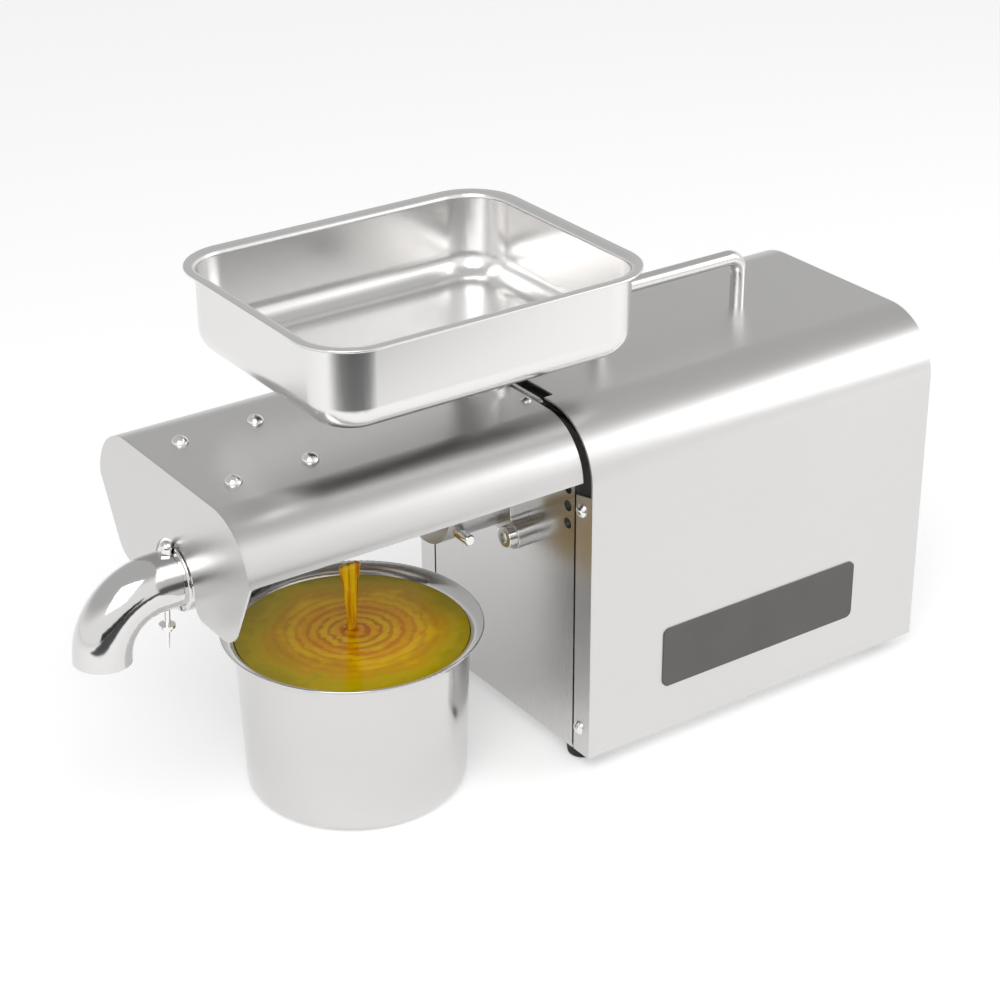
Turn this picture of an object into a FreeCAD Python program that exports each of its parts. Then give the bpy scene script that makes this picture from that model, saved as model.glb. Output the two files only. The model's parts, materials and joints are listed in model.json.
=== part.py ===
import FreeCAD, Part
import math
import os

from FreeCAD import Vector

# Screw oil press for the kitchen. Millimetres, +Z up, the press axis runs along X.
# The outlet end points to -X, the label side faces -Y and the floor is z = 0.
# Everything is drawn with x = 0 on the front plane of the housing, and save() moves it
# so that the origin ends up on the floor, halfway along the overall length.

# ---- driving dimensions --------------------------------------------------------------
# housing
SHELL_LENGTH = 246.5
SHELL_WIDTH = 170.0
SHELL_HEIGHT = 208.0
SHELL_RADIUS = 37.0
SHEET = 1.2
FOOT_HEIGHT = 9.5
FOOT_RADIUS = 10.2
FOOT_INSET_X = 12.0
FOOT_INSET_Y = 21.6
FOOT_TAPER = 1.5
FOOT_EDGE = 1.2
FOOT_WEB = 4.0
FLANGE_WIDTH = 14.4
FLANGE_TOP = 171.0
FLANGE_RISE = 3.0
FLANGE_SCREW_Z = (25.6, 163.2)
FLANGE_SCREW_INSET = 9.7
NOTCH_HALF = 41.0
NOTCH_CORNER = 1.5
NOTCH_DEPTH = 6.0
PANEL_SHEET = 1.5
PANEL_SLIT = 1.5
PANEL_HEIGHT = 170.5
CHASSIS_SHEET = 3.0
CHASSIS_DROP = 8.0
BASE_CLEARANCE = 0.4
BASE_LIP = 16.0
BASE_SLOT_HALF = 35.0
BASE_SLOT_WIDTH = 5.0
BASE_SLOT_PITCH = 14.0
BASE_SLOT_COUNT = 7
REAR_CLEARANCE = 0.1
LOUVRE_HALF = 40.0
LOUVRE_WIDTH = 3.6
LOUVRE_PITCH = 8.5
LOUVRE_RISE = 14.0
LOUVRE_COUNT = 9
VENT_RADIUS = 3.2
VENT_INSET = 6.1
VENT_LOW = 150.5
VENT_PITCH = 10.6
VENT_COUNT = 3

# carry handle on the housing's top
HANDLE_RADIUS = 4.5
HANDLE_BEND = 9.0
HANDLE_FRONT = 66.4
HANDLE_REAR = 168.6
HANDLE_AXIS_Z = 248.4
HANDLE_FOOT = 8.0
HANDLE_NUT_FLATS = 13.0
HANDLE_NUT_HEIGHT = 5.0

# bare label plate
LABEL_LENGTH = 143.2
LABEL_HEIGHT = 37.5
LABEL_BOTTOM = 38.8
LABEL_SHEET = 0.8
LABEL_CORNER = 4.0

# hood over the press barrel
HOOD_FRONT = -206.5
HOOD_REAR = -3.2
HOOD_WIDTH = 162.0
HOOD_TOP = 214.6
HOOD_RADIUS = 33.3
HOOD_SKIRT = 182.9
END_SHEET = 1.5
END_BOTTOM = 140.5
END_BOTTOM_HALF = 59.5
END_CORNER = 16.0
SLOT_RADIUS = 21.2
SLOT_FILLET = 8.0
HOOD_SCREW_X = (-184.0, -139.0)
HOOD_SCREW_Y = 28.3
HOOD_REAR_SCREW_X = -6.8
HOOD_REAR_SCREW_Y = 33.5
BRACKET_HALF = 38.5
BRACKET_FACE = -0.7
BRACKET_BOTTOM = 188.0
BRACKET_CORNER = 4.0
BRACKET_CLEARANCE = 0.2
TAB_REACH = 6.0
TAB_WIDTH = 9.5
TAB_SHEET = 1.5
SADDLE_SHEET = 2.0
SADDLE_HALF = 38.0
SADDLE_MARGIN = 12.0
SADDLE_WEB_HALF = 34.0
SADDLE_FOOT_HALF = 25.0
SADDLE_DROP = 6.0
SADDLE_FRONT_WEB = 18.0
SADDLE_REAR_WEB = 4.0

# press line
AXIS_Z = 154.5
FEED_RADIUS = 25.8
FEED_LENGTH = 52.5
FEED_FLANGE = 11.6
FEED_FLANGE_HALF = 25.0
FEED_SPIGOT_RADIUS = 19.8
FEED_BOSS_RISE = 6.0
FEED_BOSS_WALL = 5.0
EAR_RADIUS = 8.2
EAR_Y = 25.2
EAR_Z = 24.3
EAR_FILLET = 5.0
EAR_EDGE = 0.7
SEAT_DEPTH = 22.0
BORE_RADIUS = 11.8
FLIGHT_CLEARANCE = 0.3
FLIGHT_PITCH = 15.0
FLIGHT_FOOT = 4.4
FLIGHT_CREST = 2.6
ROOT_FEED = 6.5
ROOT_PRESS = 10.4
JOURNAL_RADIUS = 7.0
OUTLET_RADIUS = 10.6
BARREL_RADIUS = 18.4
BARREL_FRONT = -194.0
NOZZLE_RADIUS = 18.8
NOZZLE_EDGE = 1.5
NOZZLE_FACE = -207.85
SPIGOT_RADIUS = 14.35
SPIGOT_LENGTH = 9.5
THROAT_X = -16.35
FEED_HOLE = 11.0
THROAT_RADIUS = 14.0
THROAT_COLLAR = 18.8
PIN_X = -42.15
HEATER_FRONT = -118.75
HEATER_REAR = -64.75
HEATER_WALL = 7.6
PIN_DROP = 16.1
PIN_RADIUS = 3.2
PIN_NEAR_END = 30.7
RUNNING_FIT = 0.06
SLIDE_FIT = 0.3
SCREW_FIT = 0.15

# residue elbow
ELBOW_RADIUS = 15.65
ELBOW_WALL = 1.2
ELBOW_STRAIGHT = 10.1
ELBOW_BEND = 32.9
ELBOW_SWEEP = 87.2
ELBOW_TAIL = 3.4
BOLT_X = -213.0
BOLT_TILT = 3.5
BOLT_RADIUS = 1.7
BOLT_THREAD = 1.35
BOLT_DROP = 12.2
BOLT_CAP_FLATS = 7.4
BOLT_CAP_BASE = 3.0
BOLT_CAP_DOME = 3.5
SPOT_RADIUS = 4.6
NUT_Z = 127.0
NUT_FLANGE = 4.4
NUT_FLANGE_RISE = 1.6
NUT_RADIUS = 2.6
NUT_RISE = 2.2

# feed tray
TRAY_X = -55.8
TRAY_HALF_LENGTH = 97.7
TRAY_HALF_WIDTH = 78.2
TRAY_CORNER = 25.8
TRAY_RIM = 6.2
TRAY_SHEET = 1.0
TRAY_TOP = 294.3
TRAY_BOTTOM = 245.0
TRAY_BOTTOM_RADIUS = 15.0
TRAY_LIP_RADIUS = 2.6
TRAY_BEAD = 0.9
TRAY_SPIGOT = 22.0
THROAT_RECESS = 24.0
COLLAR_RISE = 2.6

# oil pot
POT_X = -105.35
POT_Y = -7.1
POT_HEIGHT = 96.8
POT_RIM_RADIUS = 73.0
POT_TOP_RADIUS = 64.9
POT_BASE_RADIUS = 62.1
POT_CORNER = 6.0
POT_SHEET = 1.0
POT_FLARE = 9.0
POT_FLARE_SLOPE = 20.0
POT_BEAD = 0.9

# drive
GEARBOX_DEPTH = 45.0
GEARBOX_RADIUS = 41.0
MOTOR_DROP = 66.0
MOTOR_RADIUS = 41.0
MOTOR_LENGTH = 112.0
SHAFT_RADIUS = 10.0
TANG_FLATS = 10.0
TANG_LENGTH = 16.0
MOTOR_SHAFT_RADIUS = 4.0
FAN_RADIUS = 37.0
FAN_DEPTH = 13.0
FAN_BLADES = 7
FAN_HUB = 13.0
FAN_GAP = 3.0
RIB_HEIGHT = 3.0
RIB_WIDTH = 5.0
RIB_OFFSET = 20.0
BEARING_RADIUS = 17.0
BEARING_DEPTH = 9.0
BEARING_SEAT = 12.0
SHAFT_LENGTH = 36.0
MOTOR_FLANGE = 6.0
MOTOR_REAR_RING = 12.0
MOTOR_FIN = 3.0
MOTOR_FIN_PITCH = 12.0
MOTOR_FIN_COUNT = 7
MOTOR_SCREW_Y = 31.0
MOTOR_SCREW_Z = 20.0
MOTOR_SCREW_DEPTH = 12.0
MOTOR_TAIL = 18.0
CRADLE_DEPTH = 9.0
CRADLE_HALF = 46.0
CRADLE_SHEET = 2.0
CRADLE_INSET = 11.0
CRADLE_DROP = 8.0
CRADLE_WINDOW_HALF = 30.0
CRADLE_WINDOW_RISE = 4.0
CRADLE_WINDOW_HEIGHT = 18.0

# controls on the rear panel
SWITCH_WIDTH = 21.0
SWITCH_HEIGHT = 29.0
SWITCH_Z = 62.0
DRIVE_SWITCH_Y = 24.0
HEATER_SWITCH_Y = 56.0
INLET_Y = -44.0
INLET_Z = 58.0
ROCKER_TILT = 9.0
BEZEL_RIM = 2.0
BEZEL_DEPTH = 18.0
BEZEL_WALL = 1.5
BEZEL_RECESS = 8.0
INLET_HALF_WIDTH = 14.0
INLET_HALF_HEIGHT = 10.0
INLET_RIM = 2.0
INLET_RIM_HALF = 20.0
INLET_RIM_CORNER = 3.0
INLET_DEPTH = 20.0
INLET_WALL = 2.0
INLET_RECESS = 15.0
INLET_CHAMFER = 4.0
PIN_PITCH = 7.0
PIN_RISE = 3.5
PIN_HALF_WIDTH = 1.0
PIN_HALF_HEIGHT = 2.0
BOARD_OFFSET = 30.0
BOARD_LENGTH = 80.0
BOARD_HEIGHT = 70.0
BOARD_LOW = 40.0
BOARD_INSET = 27.4
BOARD_SHEET = 1.6
RELAY_LENGTH = 19.0
RELAY_HEIGHT = 15.0
RELAY_DEPTH = 15.4
RELAY_PITCH = 22.0
TERMINAL_LENGTH = 17.0
TERMINAL_HEIGHT = 54.0
TERMINAL_DEPTH = 11.4
CAPACITOR_RADIUS = 7.0
CAPACITOR_LENGTH = 19.4
PART_MARGIN = 6.0
STAND_OFF = 2.0
STAND_OFF_RADIUS = 2.5
STAND_OFF_MARGIN = 10.0
STAND_OFF_RISE = 12.0
BRACKET_SHEET = 2.0
BRACKET_FOOT = 14.0
BRACKET_TOP = 60.0

# fasteners
M3 = {"shank": 1.5, "head": 3.0, "rise": 2.0}
M4 = {"shank": 2.0, "head": 4.1, "rise": 2.6}
M5 = {"shank": 2.5, "head": 4.7, "rise": 3.7}
HEAD_EDGE = 0.5
CAP_HEAD = 6.3
CAP_HEIGHT = 4.6
CAP_SHANK = 4.0
CAP_SOCKET = 6.0
CAP_SOCKET_DEPTH = 3.0
CAP_GRIP = 10.0

# ---- derived ---------------------------------------------------------------------------
FLOOR_Z = FOOT_HEIGHT
ROOF_Z = FLOOR_Z + SHELL_HEIGHT
HALF = SHELL_WIDTH / 2
PANEL_HALF = HALF - FLANGE_WIDTH - PANEL_SLIT
PANEL_TOP = FLOOR_Z + PANEL_HEIGHT
VENT_Y = PANEL_HALF - VENT_INSET
FLANGE_SCREW_Y = HALF - FLANGE_SCREW_INSET
FOOT_Y = HALF - FOOT_INSET_Y
CHASSIS_X = PANEL_SHEET
GEARBOX_X = CHASSIS_X + CHASSIS_SHEET
SEAT_X = -FEED_LENGTH + SEAT_DEPTH
MOTOR_Z = AXIS_Z - MOTOR_DROP
MOTOR_X = GEARBOX_X + GEARBOX_DEPTH
FLIGHT_RADIUS = BORE_RADIUS - FLIGHT_CLEARANCE
SPIGOT_HOLE = FEED_SPIGOT_RADIUS + SCREW_FIT
ELBOW_TOP = AXIS_Z + ELBOW_RADIUS
BOARD_Y = HALF - BOARD_INSET
BOARD_X = MOTOR_X + BOARD_OFFSET
OVERALL_FRONT = NOZZLE_FACE - ELBOW_STRAIGHT - ELBOW_BEND - ELBOW_RADIUS
OVERALL_REAR = SHELL_LENGTH + M4["rise"]
ORIGIN_X = (OVERALL_FRONT + OVERALL_REAR) / 2
X_AXIS = Vector(1, 0, 0)
Y_AXIS = Vector(0, 1, 0)
Z_AXIS = Vector(0, 0, 1)


# ---- helpers ---------------------------------------------------------------------------
def rod(radius, x0, x1, y=0.0, z=AXIS_Z):
    """Cylinder along X from x0 to x1."""
    return Part.makeCylinder(radius, x1 - x0, Vector(x0, y, z), X_AXIS)


def post(radius, z0, z1, x, y=0.0):
    """Cylinder along Z from z0 to z1."""
    return Part.makeCylinder(radius, z1 - z0, Vector(x, y, z0), Z_AXIS)


def cross_rod(radius, y0, y1, x, z):
    """Cylinder along Y from y0 to y1."""
    return Part.makeCylinder(radius, y1 - y0, Vector(x, y0, z), Y_AXIS)


def cone(r0, r1, x0, x1, z=AXIS_Z):
    """Cone along X, radius r0 at x0 and r1 at x1."""
    return Part.makeCone(r0, r1, x1 - x0, Vector(x0, 0, z), X_AXIS)


def block(x0, x1, y0, y1, z0, z1):
    """Box between two corners."""
    return Part.makeBox(x1 - x0, y1 - y0, z1 - z0, Vector(x0, y0, z0))


def polygon(points):
    """Face inside a closed run of points."""
    return Part.Face(Part.makePolygon(points + [points[0]]))


def rounded_plate(x0, x1, half_y, z0, z1, radius):
    """Plate in the YZ plane with four rounded corners."""
    plate = block(x0, x1, -half_y, half_y, z0, z1)
    edges = [e for e in plate.Edges if abs(e.tangentAt(e.FirstParameter).x) > 0.9]
    return plate.makeFillet(radius, edges)


def arch(x0, x1, width, top, bottom, radius):
    """Bar along X whose section is flat below and has two rounded top corners."""
    low = min(bottom, top - radius - 1)
    bar = block(x0, x1, -width / 2, width / 2, low, top)
    edges = []
    for edge in bar.Edges:
        centre = edge.CenterOfMass
        if abs(edge.tangentAt(edge.FirstParameter).x) > 0.9 and centre.z > top - 1e-3:
            edges.append(edge)
    bar = bar.makeFillet(radius, edges)
    return bar.cut(block(x0 - 1, x1 + 1, -width, width, low - 1, bottom))


def arch_sheet(x0, x1, width, top, bottom, radius, sheet):
    """Bent cover: the arch with everything but a sheet's thickness removed."""
    outer = arch(x0, x1, width, top, bottom, radius)
    inner = arch(x0 - 1, x1 + 1, width - 2 * sheet, top - sheet, bottom - 1, radius - sheet)
    return outer.cut(inner)


def revolve_x(points, x_shift=0.0, y=0.0, z=AXIS_Z):
    """Turned piece about an axis along X from (x, r) points."""
    face = polygon([Vector(x + x_shift, y, z + r) for x, r in points])
    return face.revolve(Vector(0, y, z), X_AXIS, 360)


def dome(radius, rise):
    """Domed head on z = 0: a low cylindrical edge under a spherical cap."""
    cap = rise - HEAD_EDGE
    ball = (radius ** 2 + cap ** 2) / (2 * cap)
    head = Part.makeCylinder(radius, rise, Vector(0, 0, 0), Z_AXIS)
    return head.common(Part.makeSphere(ball, Vector(0, 0, rise - ball)))


def round_screw(size, length, at, direction):
    """Round-head screw; at is the point under the head, direction points out of the head."""
    shank = Part.makeCylinder(size["shank"], length, Vector(0, 0, -length), Z_AXIS)
    screw = dome(size["head"], size["rise"]).fuse(shank).removeSplitter()
    screw.Placement = FreeCAD.Placement(at, FreeCAD.Rotation(Z_AXIS, direction))
    return screw


def hexagon(flats, x0, x1, z=AXIS_Z, y=0.0):
    """Hexagonal bar along X, measured across flats."""
    radius = flats / math.sqrt(3)
    corners = []
    for k in range(6):
        angle = math.radians(60 * k)
        corners.append(Vector(x0, y + radius * math.cos(angle), z + radius * math.sin(angle)))
    return polygon(corners).extrude(Vector(x1 - x0, 0, 0))


def mirror_y(shape):
    """The same piece on the other side of the press axis."""
    return shape.mirror(Vector(0, 0, 0), Y_AXIS)


def both_sides(shape):
    """A piece and its twin across the press axis."""
    return [shape, mirror_y(shape)]


def save(name, *solids):
    """Write one node, moved so that the origin is halfway along the overall length."""
    shape = solids[0] if len(solids) == 1 else Part.makeCompound(list(solids))
    shape = shape.copy()
    shape.translate(Vector(-ORIGIN_X, 0, 0))
    shape.exportStep("parts/" + name + ".step")


# ---- housing ---------------------------------------------------------------------------
def flange_strip(x0, x1):
    """Inward fold along one side of the housing, its top edge slanting up to the side."""
    inner_y = -HALF + FLANGE_WIDTH
    outer_y = -HALF + SHEET / 2
    face = polygon([
        Vector(x0, inner_y, FLOOR_Z),
        Vector(x0, inner_y, FLANGE_TOP),
        Vector(x0, outer_y, FLANGE_TOP + FLANGE_RISE),
        Vector(x0, outer_y, FLOOR_Z),
    ])
    return face.extrude(Vector(x1 - x0, 0, 0))


def flange_screw_points(x):
    """Centres of the four screws in a pair of flanges."""
    return [Vector(x, side * FLANGE_SCREW_Y, z) for side in (-1, 1) for z in FLANGE_SCREW_Z]


def make_outer_shell():
    shell = arch_sheet(0, SHELL_LENGTH, SHELL_WIDTH, ROOF_Z, FLOOR_Z, SHELL_RADIUS, SHEET)
    for x0 in (0, SHELL_LENGTH - SHEET):
        for strip in both_sides(flange_strip(x0, x0 + SHEET)):
            shell = shell.fuse(strip)
    notch = block(-1, NOTCH_DEPTH, -NOTCH_HALF, NOTCH_HALF, ROOF_Z - 2 * SHEET, ROOF_Z + 1)
    corners = [e for e in notch.Edges if abs(e.tangentAt(e.FirstParameter).z) > 0.9
               and e.CenterOfMass.x > 0]
    shell = shell.cut(notch.makeFillet(NOTCH_CORNER, corners))
    for x0 in (0, SHELL_LENGTH - SHEET):
        for point in flange_screw_points(x0):
            shell = shell.cut(rod(M4["shank"] + SCREW_FIT, x0 - 1, x0 + SHEET + 1, point.y, point.z))
    for x in (HANDLE_FRONT, HANDLE_REAR):
        shell = shell.cut(post(HANDLE_RADIUS, ROOF_Z - 2 * SHEET, ROOF_Z + 1, x))
    return shell.removeSplitter()


def make_front_panel():
    panel = block(0, PANEL_SHEET, -PANEL_HALF, PANEL_HALF, FLOOR_Z, PANEL_TOP)
    panel = panel.cut(rod(SPIGOT_HOLE, -1, PANEL_SHEET + 1))
    for centre in ear_centres():
        panel = panel.cut(rod(CAP_SHANK + SCREW_FIT, -1, PANEL_SHEET + 1, centre[0], centre[1]))
    for side in (-1, 1):
        for k in range(VENT_COUNT):
            z = VENT_LOW + VENT_PITCH * k
            panel = panel.cut(rod(VENT_RADIUS, -1, PANEL_SHEET + 1, side * VENT_Y, z))
    return panel


def make_chassis_plate():
    """Thick plate behind the front panel that carries the gearbox and the press line."""
    x1 = CHASSIS_X + CHASSIS_SHEET
    plate = arch(CHASSIS_X, x1, SHELL_WIDTH - 2 * SHEET - 1, ROOF_Z - CHASSIS_DROP,
                 FLOOR_Z + PANEL_SHEET, SHELL_RADIUS - CHASSIS_DROP)
    plate = plate.cut(rod(SPIGOT_HOLE, CHASSIS_X - 1, x1 + 1))
    for centre in ear_centres():
        plate = plate.cut(rod(CAP_SHANK + SCREW_FIT, CHASSIS_X - 1, x1 + 1, centre[0], centre[1]))
    for point in flange_screw_points(0):
        plate = plate.cut(rod(M4["shank"] + SCREW_FIT, CHASSIS_X - 1, x1 + 1, point.y, point.z))
    return plate


def make_base_plate():
    """Pan under the housing with cooling slots and turned-up sides."""
    half = HALF - SHEET - BASE_CLEARANCE
    x0 = GEARBOX_X
    x1 = SHELL_LENGTH - SHEET - PANEL_SHEET
    top = FLOOR_Z + PANEL_SHEET
    floor = block(x0 - CHASSIS_SHEET, x1, -half, half, FLOOR_Z, top)
    for side in (-half, half - PANEL_SHEET):
        floor = floor.fuse(block(x0, x1, side, side + PANEL_SHEET, FLOOR_Z, FLOOR_Z + BASE_LIP))
    for k in range(BASE_SLOT_COUNT):
        x = MOTOR_X + RIB_OFFSET + BASE_SLOT_PITCH * k
        slot = block(x, x + BASE_SLOT_WIDTH, -BASE_SLOT_HALF, BASE_SLOT_HALF, FLOOR_Z - 1, top + 1)
        ends = [e for e in slot.Edges if abs(e.tangentAt(e.FirstParameter).z) > 0.9]
        floor = floor.cut(slot.makeFillet(0.48 * BASE_SLOT_WIDTH, ends))
    for x, y in foot_points():
        floor = floor.cut(post(M4["shank"] + SCREW_FIT, FLOOR_Z - 1, top + 1, x, y))
    return floor.removeSplitter()


def make_rear_panel():
    """Back wall inside the housing, with fan louvres and openings for inlet and switches."""
    x0 = SHELL_LENGTH - SHEET - PANEL_SHEET
    x1 = SHELL_LENGTH - SHEET
    inset = SHEET + REAR_CLEARANCE
    panel = arch(x0, x1, SHELL_WIDTH - 2 * inset, ROOF_Z - inset, FLOOR_Z, SHELL_RADIUS - inset)
    for k in range(LOUVRE_COUNT):
        z = MOTOR_Z + LOUVRE_RISE + LOUVRE_PITCH * k
        slot = block(x0 - 1, x1 + 1, -LOUVRE_HALF, LOUVRE_HALF, z, z + LOUVRE_WIDTH)
        ends = [e for e in slot.Edges if abs(e.tangentAt(e.FirstParameter).x) > 0.9]
        panel = panel.cut(slot.makeFillet(0.47 * LOUVRE_WIDTH, ends))
    for y in (DRIVE_SWITCH_Y, HEATER_SWITCH_Y):
        panel = panel.cut(switch_block(y, x0 - 1, x1 + 1, 2 * BEZEL_WALL))
    panel = panel.cut(inlet_block(x0 - 1, x1 + 1, 0))
    for point in flange_screw_points(x0):
        panel = panel.cut(rod(M4["shank"] + SCREW_FIT, x0 - 1, x1 + 1, point.y, point.z))
    return panel


def foot_points():
    """Centres of the four feet."""
    xs = (FOOT_INSET_X, SHELL_LENGTH - FOOT_INSET_X)
    return [(x, side * FOOT_Y) for x in xs for side in (-1, 1)]


def make_foot(x, y):
    """Rubber foot, a little narrower where it meets the floor, recessed for its screw."""
    low = FOOT_RADIUS - FOOT_TAPER
    foot = Part.makeCone(low, FOOT_RADIUS, FOOT_HEIGHT, Vector(x, y, 0), Z_AXIS)
    rim = [e for e in foot.Edges if len(e.Vertexes) == 1 and e.CenterOfMass.z < 1e-3]
    foot = foot.makeFillet(FOOT_EDGE, rim)
    foot = foot.cut(post(M4["head"] + SLIDE_FIT, -1, FOOT_WEB, x, y))
    return foot.cut(post(M4["shank"] + SCREW_FIT, FOOT_WEB - 1, FOOT_HEIGHT + 1, x, y))


def make_carry_handle():
    """Round bar bent twice into a bridge, standing on two legs."""
    top = HANDLE_AXIS_Z - HANDLE_BEND
    bar = rod(HANDLE_RADIUS, HANDLE_FRONT + HANDLE_BEND, HANDLE_REAR - HANDLE_BEND, 0, HANDLE_AXIS_Z)
    for x, turn in ((HANDLE_FRONT, 1), (HANDLE_REAR, -1)):
        bar = bar.fuse(post(HANDLE_RADIUS, ROOF_Z - HANDLE_FOOT, top, x))
        centre = Vector(x + turn * HANDLE_BEND, 0, top)
        section = Part.Face(Part.Wire(Part.makeCircle(HANDLE_RADIUS, Vector(x, 0, top), Z_AXIS)))
        bar = bar.fuse(section.revolve(centre, Y_AXIS, turn * 90))
    return bar.removeSplitter()


def make_handle_nut(x):
    nut = hexagon(HANDLE_NUT_FLATS, 0, HANDLE_NUT_HEIGHT, 0, 0)
    nut.Placement = FreeCAD.Placement(Vector(x, 0, ROOF_Z - SHEET), FreeCAD.Rotation(Y_AXIS, 90))
    return nut.cut(post(HANDLE_RADIUS, ROOF_Z - HANDLE_FOOT - 1, ROOF_Z, x))


def make_label_plate():
    start = (SHELL_LENGTH - LABEL_LENGTH) / 2
    plate = block(start, start + LABEL_LENGTH, -HALF - LABEL_SHEET, -HALF,
                  LABEL_BOTTOM, LABEL_BOTTOM + LABEL_HEIGHT)
    edges = [e for e in plate.Edges if abs(e.tangentAt(e.FirstParameter).y) > 0.9]
    return plate.makeFillet(LABEL_CORNER, edges)


# ---- hood ------------------------------------------------------------------------------
def make_hood_shell():
    hood = arch_sheet(HOOD_FRONT + END_SHEET, HOOD_REAR, HOOD_WIDTH, HOOD_TOP, HOOD_SKIRT,
                      HOOD_RADIUS, SHEET)
    slot_radius = THROAT_RADIUS + SLIDE_FIT
    hood = hood.cut(post(slot_radius, HOOD_TOP - 5, HOOD_TOP + 5, THROAT_X))
    hood = hood.cut(block(THROAT_X, HOOD_REAR + 1, -slot_radius, slot_radius,
                          HOOD_TOP - 5, HOOD_TOP + 5))
    for point in hood_screw_points():
        hood = hood.cut(post(M5["shank"] + SCREW_FIT, HOOD_TOP - 5, HOOD_TOP + 5, point.x, point.y))
    for point in hood_rear_points():
        hood = hood.cut(post(M3["shank"] + SCREW_FIT, HOOD_TOP - 5, HOOD_TOP + 5, point.x, point.y))
    return hood


def make_hood_end_plate():
    """Front wall of the hood: rounded above, tapering below, with a slot for the nozzle."""
    x0 = HOOD_FRONT
    x1 = HOOD_FRONT + END_SHEET
    upper = arch(x0, x1, HOOD_WIDTH, HOOD_TOP, HOOD_SKIRT, HOOD_RADIUS)
    lower = polygon([
        Vector(x0, -HOOD_WIDTH / 2, HOOD_SKIRT),
        Vector(x0, HOOD_WIDTH / 2, HOOD_SKIRT),
        Vector(x0, END_BOTTOM_HALF, END_BOTTOM),
        Vector(x0, -END_BOTTOM_HALF, END_BOTTOM),
    ]).extrude(Vector(x1 - x0, 0, 0))
    plate = upper.fuse(lower).removeSplitter()
    low = [e for e in plate.Edges if abs(e.tangentAt(e.FirstParameter).x) > 0.9
           and e.CenterOfMass.z < END_BOTTOM + 1e-3]
    plate = plate.makeFillet(END_CORNER, low)
    slot = rod(SLOT_RADIUS, x0 - 1, x1 + 1)
    slot = slot.fuse(block(x0 - 1, x1 + 1, -SLOT_RADIUS, SLOT_RADIUS, END_BOTTOM - 1, AXIS_Z))
    plate = plate.cut(slot)
    mouth = [e for e in plate.Edges if abs(e.tangentAt(e.FirstParameter).x) > 0.9
             and e.CenterOfMass.z < END_BOTTOM + 1e-3 and abs(e.CenterOfMass.y) < SLOT_RADIUS + 1]
    return plate.makeFillet(SLOT_FILLET, mouth)


def hood_screw_points():
    return [Vector(x, side * HOOD_SCREW_Y, HOOD_TOP) for x in HOOD_SCREW_X for side in (-1, 1)]


def hood_rear_points():
    return [Vector(HOOD_REAR_SCREW_X, side * HOOD_REAR_SCREW_Y, HOOD_TOP) for side in (-1, 1)]


def make_hood_saddle():
    """Bent bracket under the hood: a shelf for the screws on two webs that ride the barrel."""
    under = HOOD_TOP - SHEET
    shelf = under - SADDLE_SHEET
    foot = AXIS_Z - SADDLE_DROP
    x0 = HOOD_SCREW_X[0] - SADDLE_MARGIN
    x1 = HOOD_SCREW_X[1] + SADDLE_MARGIN
    saddle = block(x0, x1, -SADDLE_HALF, SADDLE_HALF, shelf, under)
    for x in (x0 + SADDLE_FRONT_WEB, x1 - SADDLE_REAR_WEB):
        web = polygon([
            Vector(x, -SADDLE_WEB_HALF, shelf),
            Vector(x, SADDLE_WEB_HALF, shelf),
            Vector(x, SADDLE_FOOT_HALF, foot),
            Vector(x, -SADDLE_FOOT_HALF, foot),
        ]).extrude(Vector(SADDLE_SHEET, 0, 0))
        saddle = saddle.fuse(web)
    saddle = saddle.cut(rod(BARREL_RADIUS, x0 - 1, x1 + 1))
    for point in hood_screw_points():
        saddle = saddle.cut(post(M5["shank"] + SCREW_FIT, shelf - 1, under + 1, point.x, point.y))
    return saddle.removeSplitter()


def make_hood_rear_bracket():
    """Upright strip behind the hood with two tabs that its rear screws reach."""
    under = HOOD_TOP - SHEET
    bracket = rounded_plate(BRACKET_FACE, CHASSIS_X, BRACKET_HALF, BRACKET_BOTTOM,
                            HOOD_TOP - BRACKET_CLEARANCE, BRACKET_CORNER)
    edge = BRACKET_HALF - 1
    tab = block(HOOD_REAR_SCREW_X - TAB_REACH, BRACKET_FACE + 1, -edge, TAB_WIDTH - edge,
                under - TAB_SHEET, under)
    for piece in both_sides(tab):
        bracket = bracket.fuse(piece)
    for point in hood_rear_points():
        bracket = bracket.cut(post(M3["shank"] + SCREW_FIT, under - 5, under + 1, point.x, point.y))
    return bracket.removeSplitter()


# ---- press line ------------------------------------------------------------------------
def ear_centres():
    """(y, z) of the four screws that hold the feed housing."""
    return [(sy * EAR_Y, AXIS_Z + sz * EAR_Z) for sy in (-1, 1) for sz in (-1, 1)]


def feed_flange():
    """Square flange with a lobe at each corner, flowing into its sides, its front edge broken."""
    flange = rounded_plate(-FEED_FLANGE, 0, FEED_FLANGE_HALF, AXIS_Z - FEED_FLANGE_HALF,
                           AXIS_Z + FEED_FLANGE_HALF, 4)
    for y, z in ear_centres():
        flange = flange.fuse(rod(EAR_RADIUS, -FEED_FLANGE, 0, y, z))
    flange = flange.removeSplitter()
    lobe = EAR_RADIUS + 1e-3
    corners = []
    for edge in flange.Edges:
        middle = edge.CenterOfMass
        along = abs(edge.tangentAt(edge.FirstParameter).x) > 0.9
        near = [math.hypot(middle.y - y, middle.z - z) for y, z in ear_centres()]
        if along and min(near) < lobe:
            corners.append(edge)
    flange = flange.makeFillet(EAR_FILLET, corners)
    front = [e for e in flange.Edges if abs(e.CenterOfMass.x + FEED_FLANGE) < 1e-3]
    return flange.makeFillet(EAR_EDGE, front)


def feed_body_envelope():
    """Outer form of the feed housing: barrel socket, eared flange and throat boss."""
    body = rod(FEED_RADIUS, -FEED_LENGTH, 0).fuse(feed_flange())
    boss = FEED_HOLE + FEED_BOSS_WALL
    return body.fuse(post(boss, AXIS_Z, AXIS_Z + FEED_RADIUS + FEED_BOSS_RISE, THROAT_X))


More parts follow.
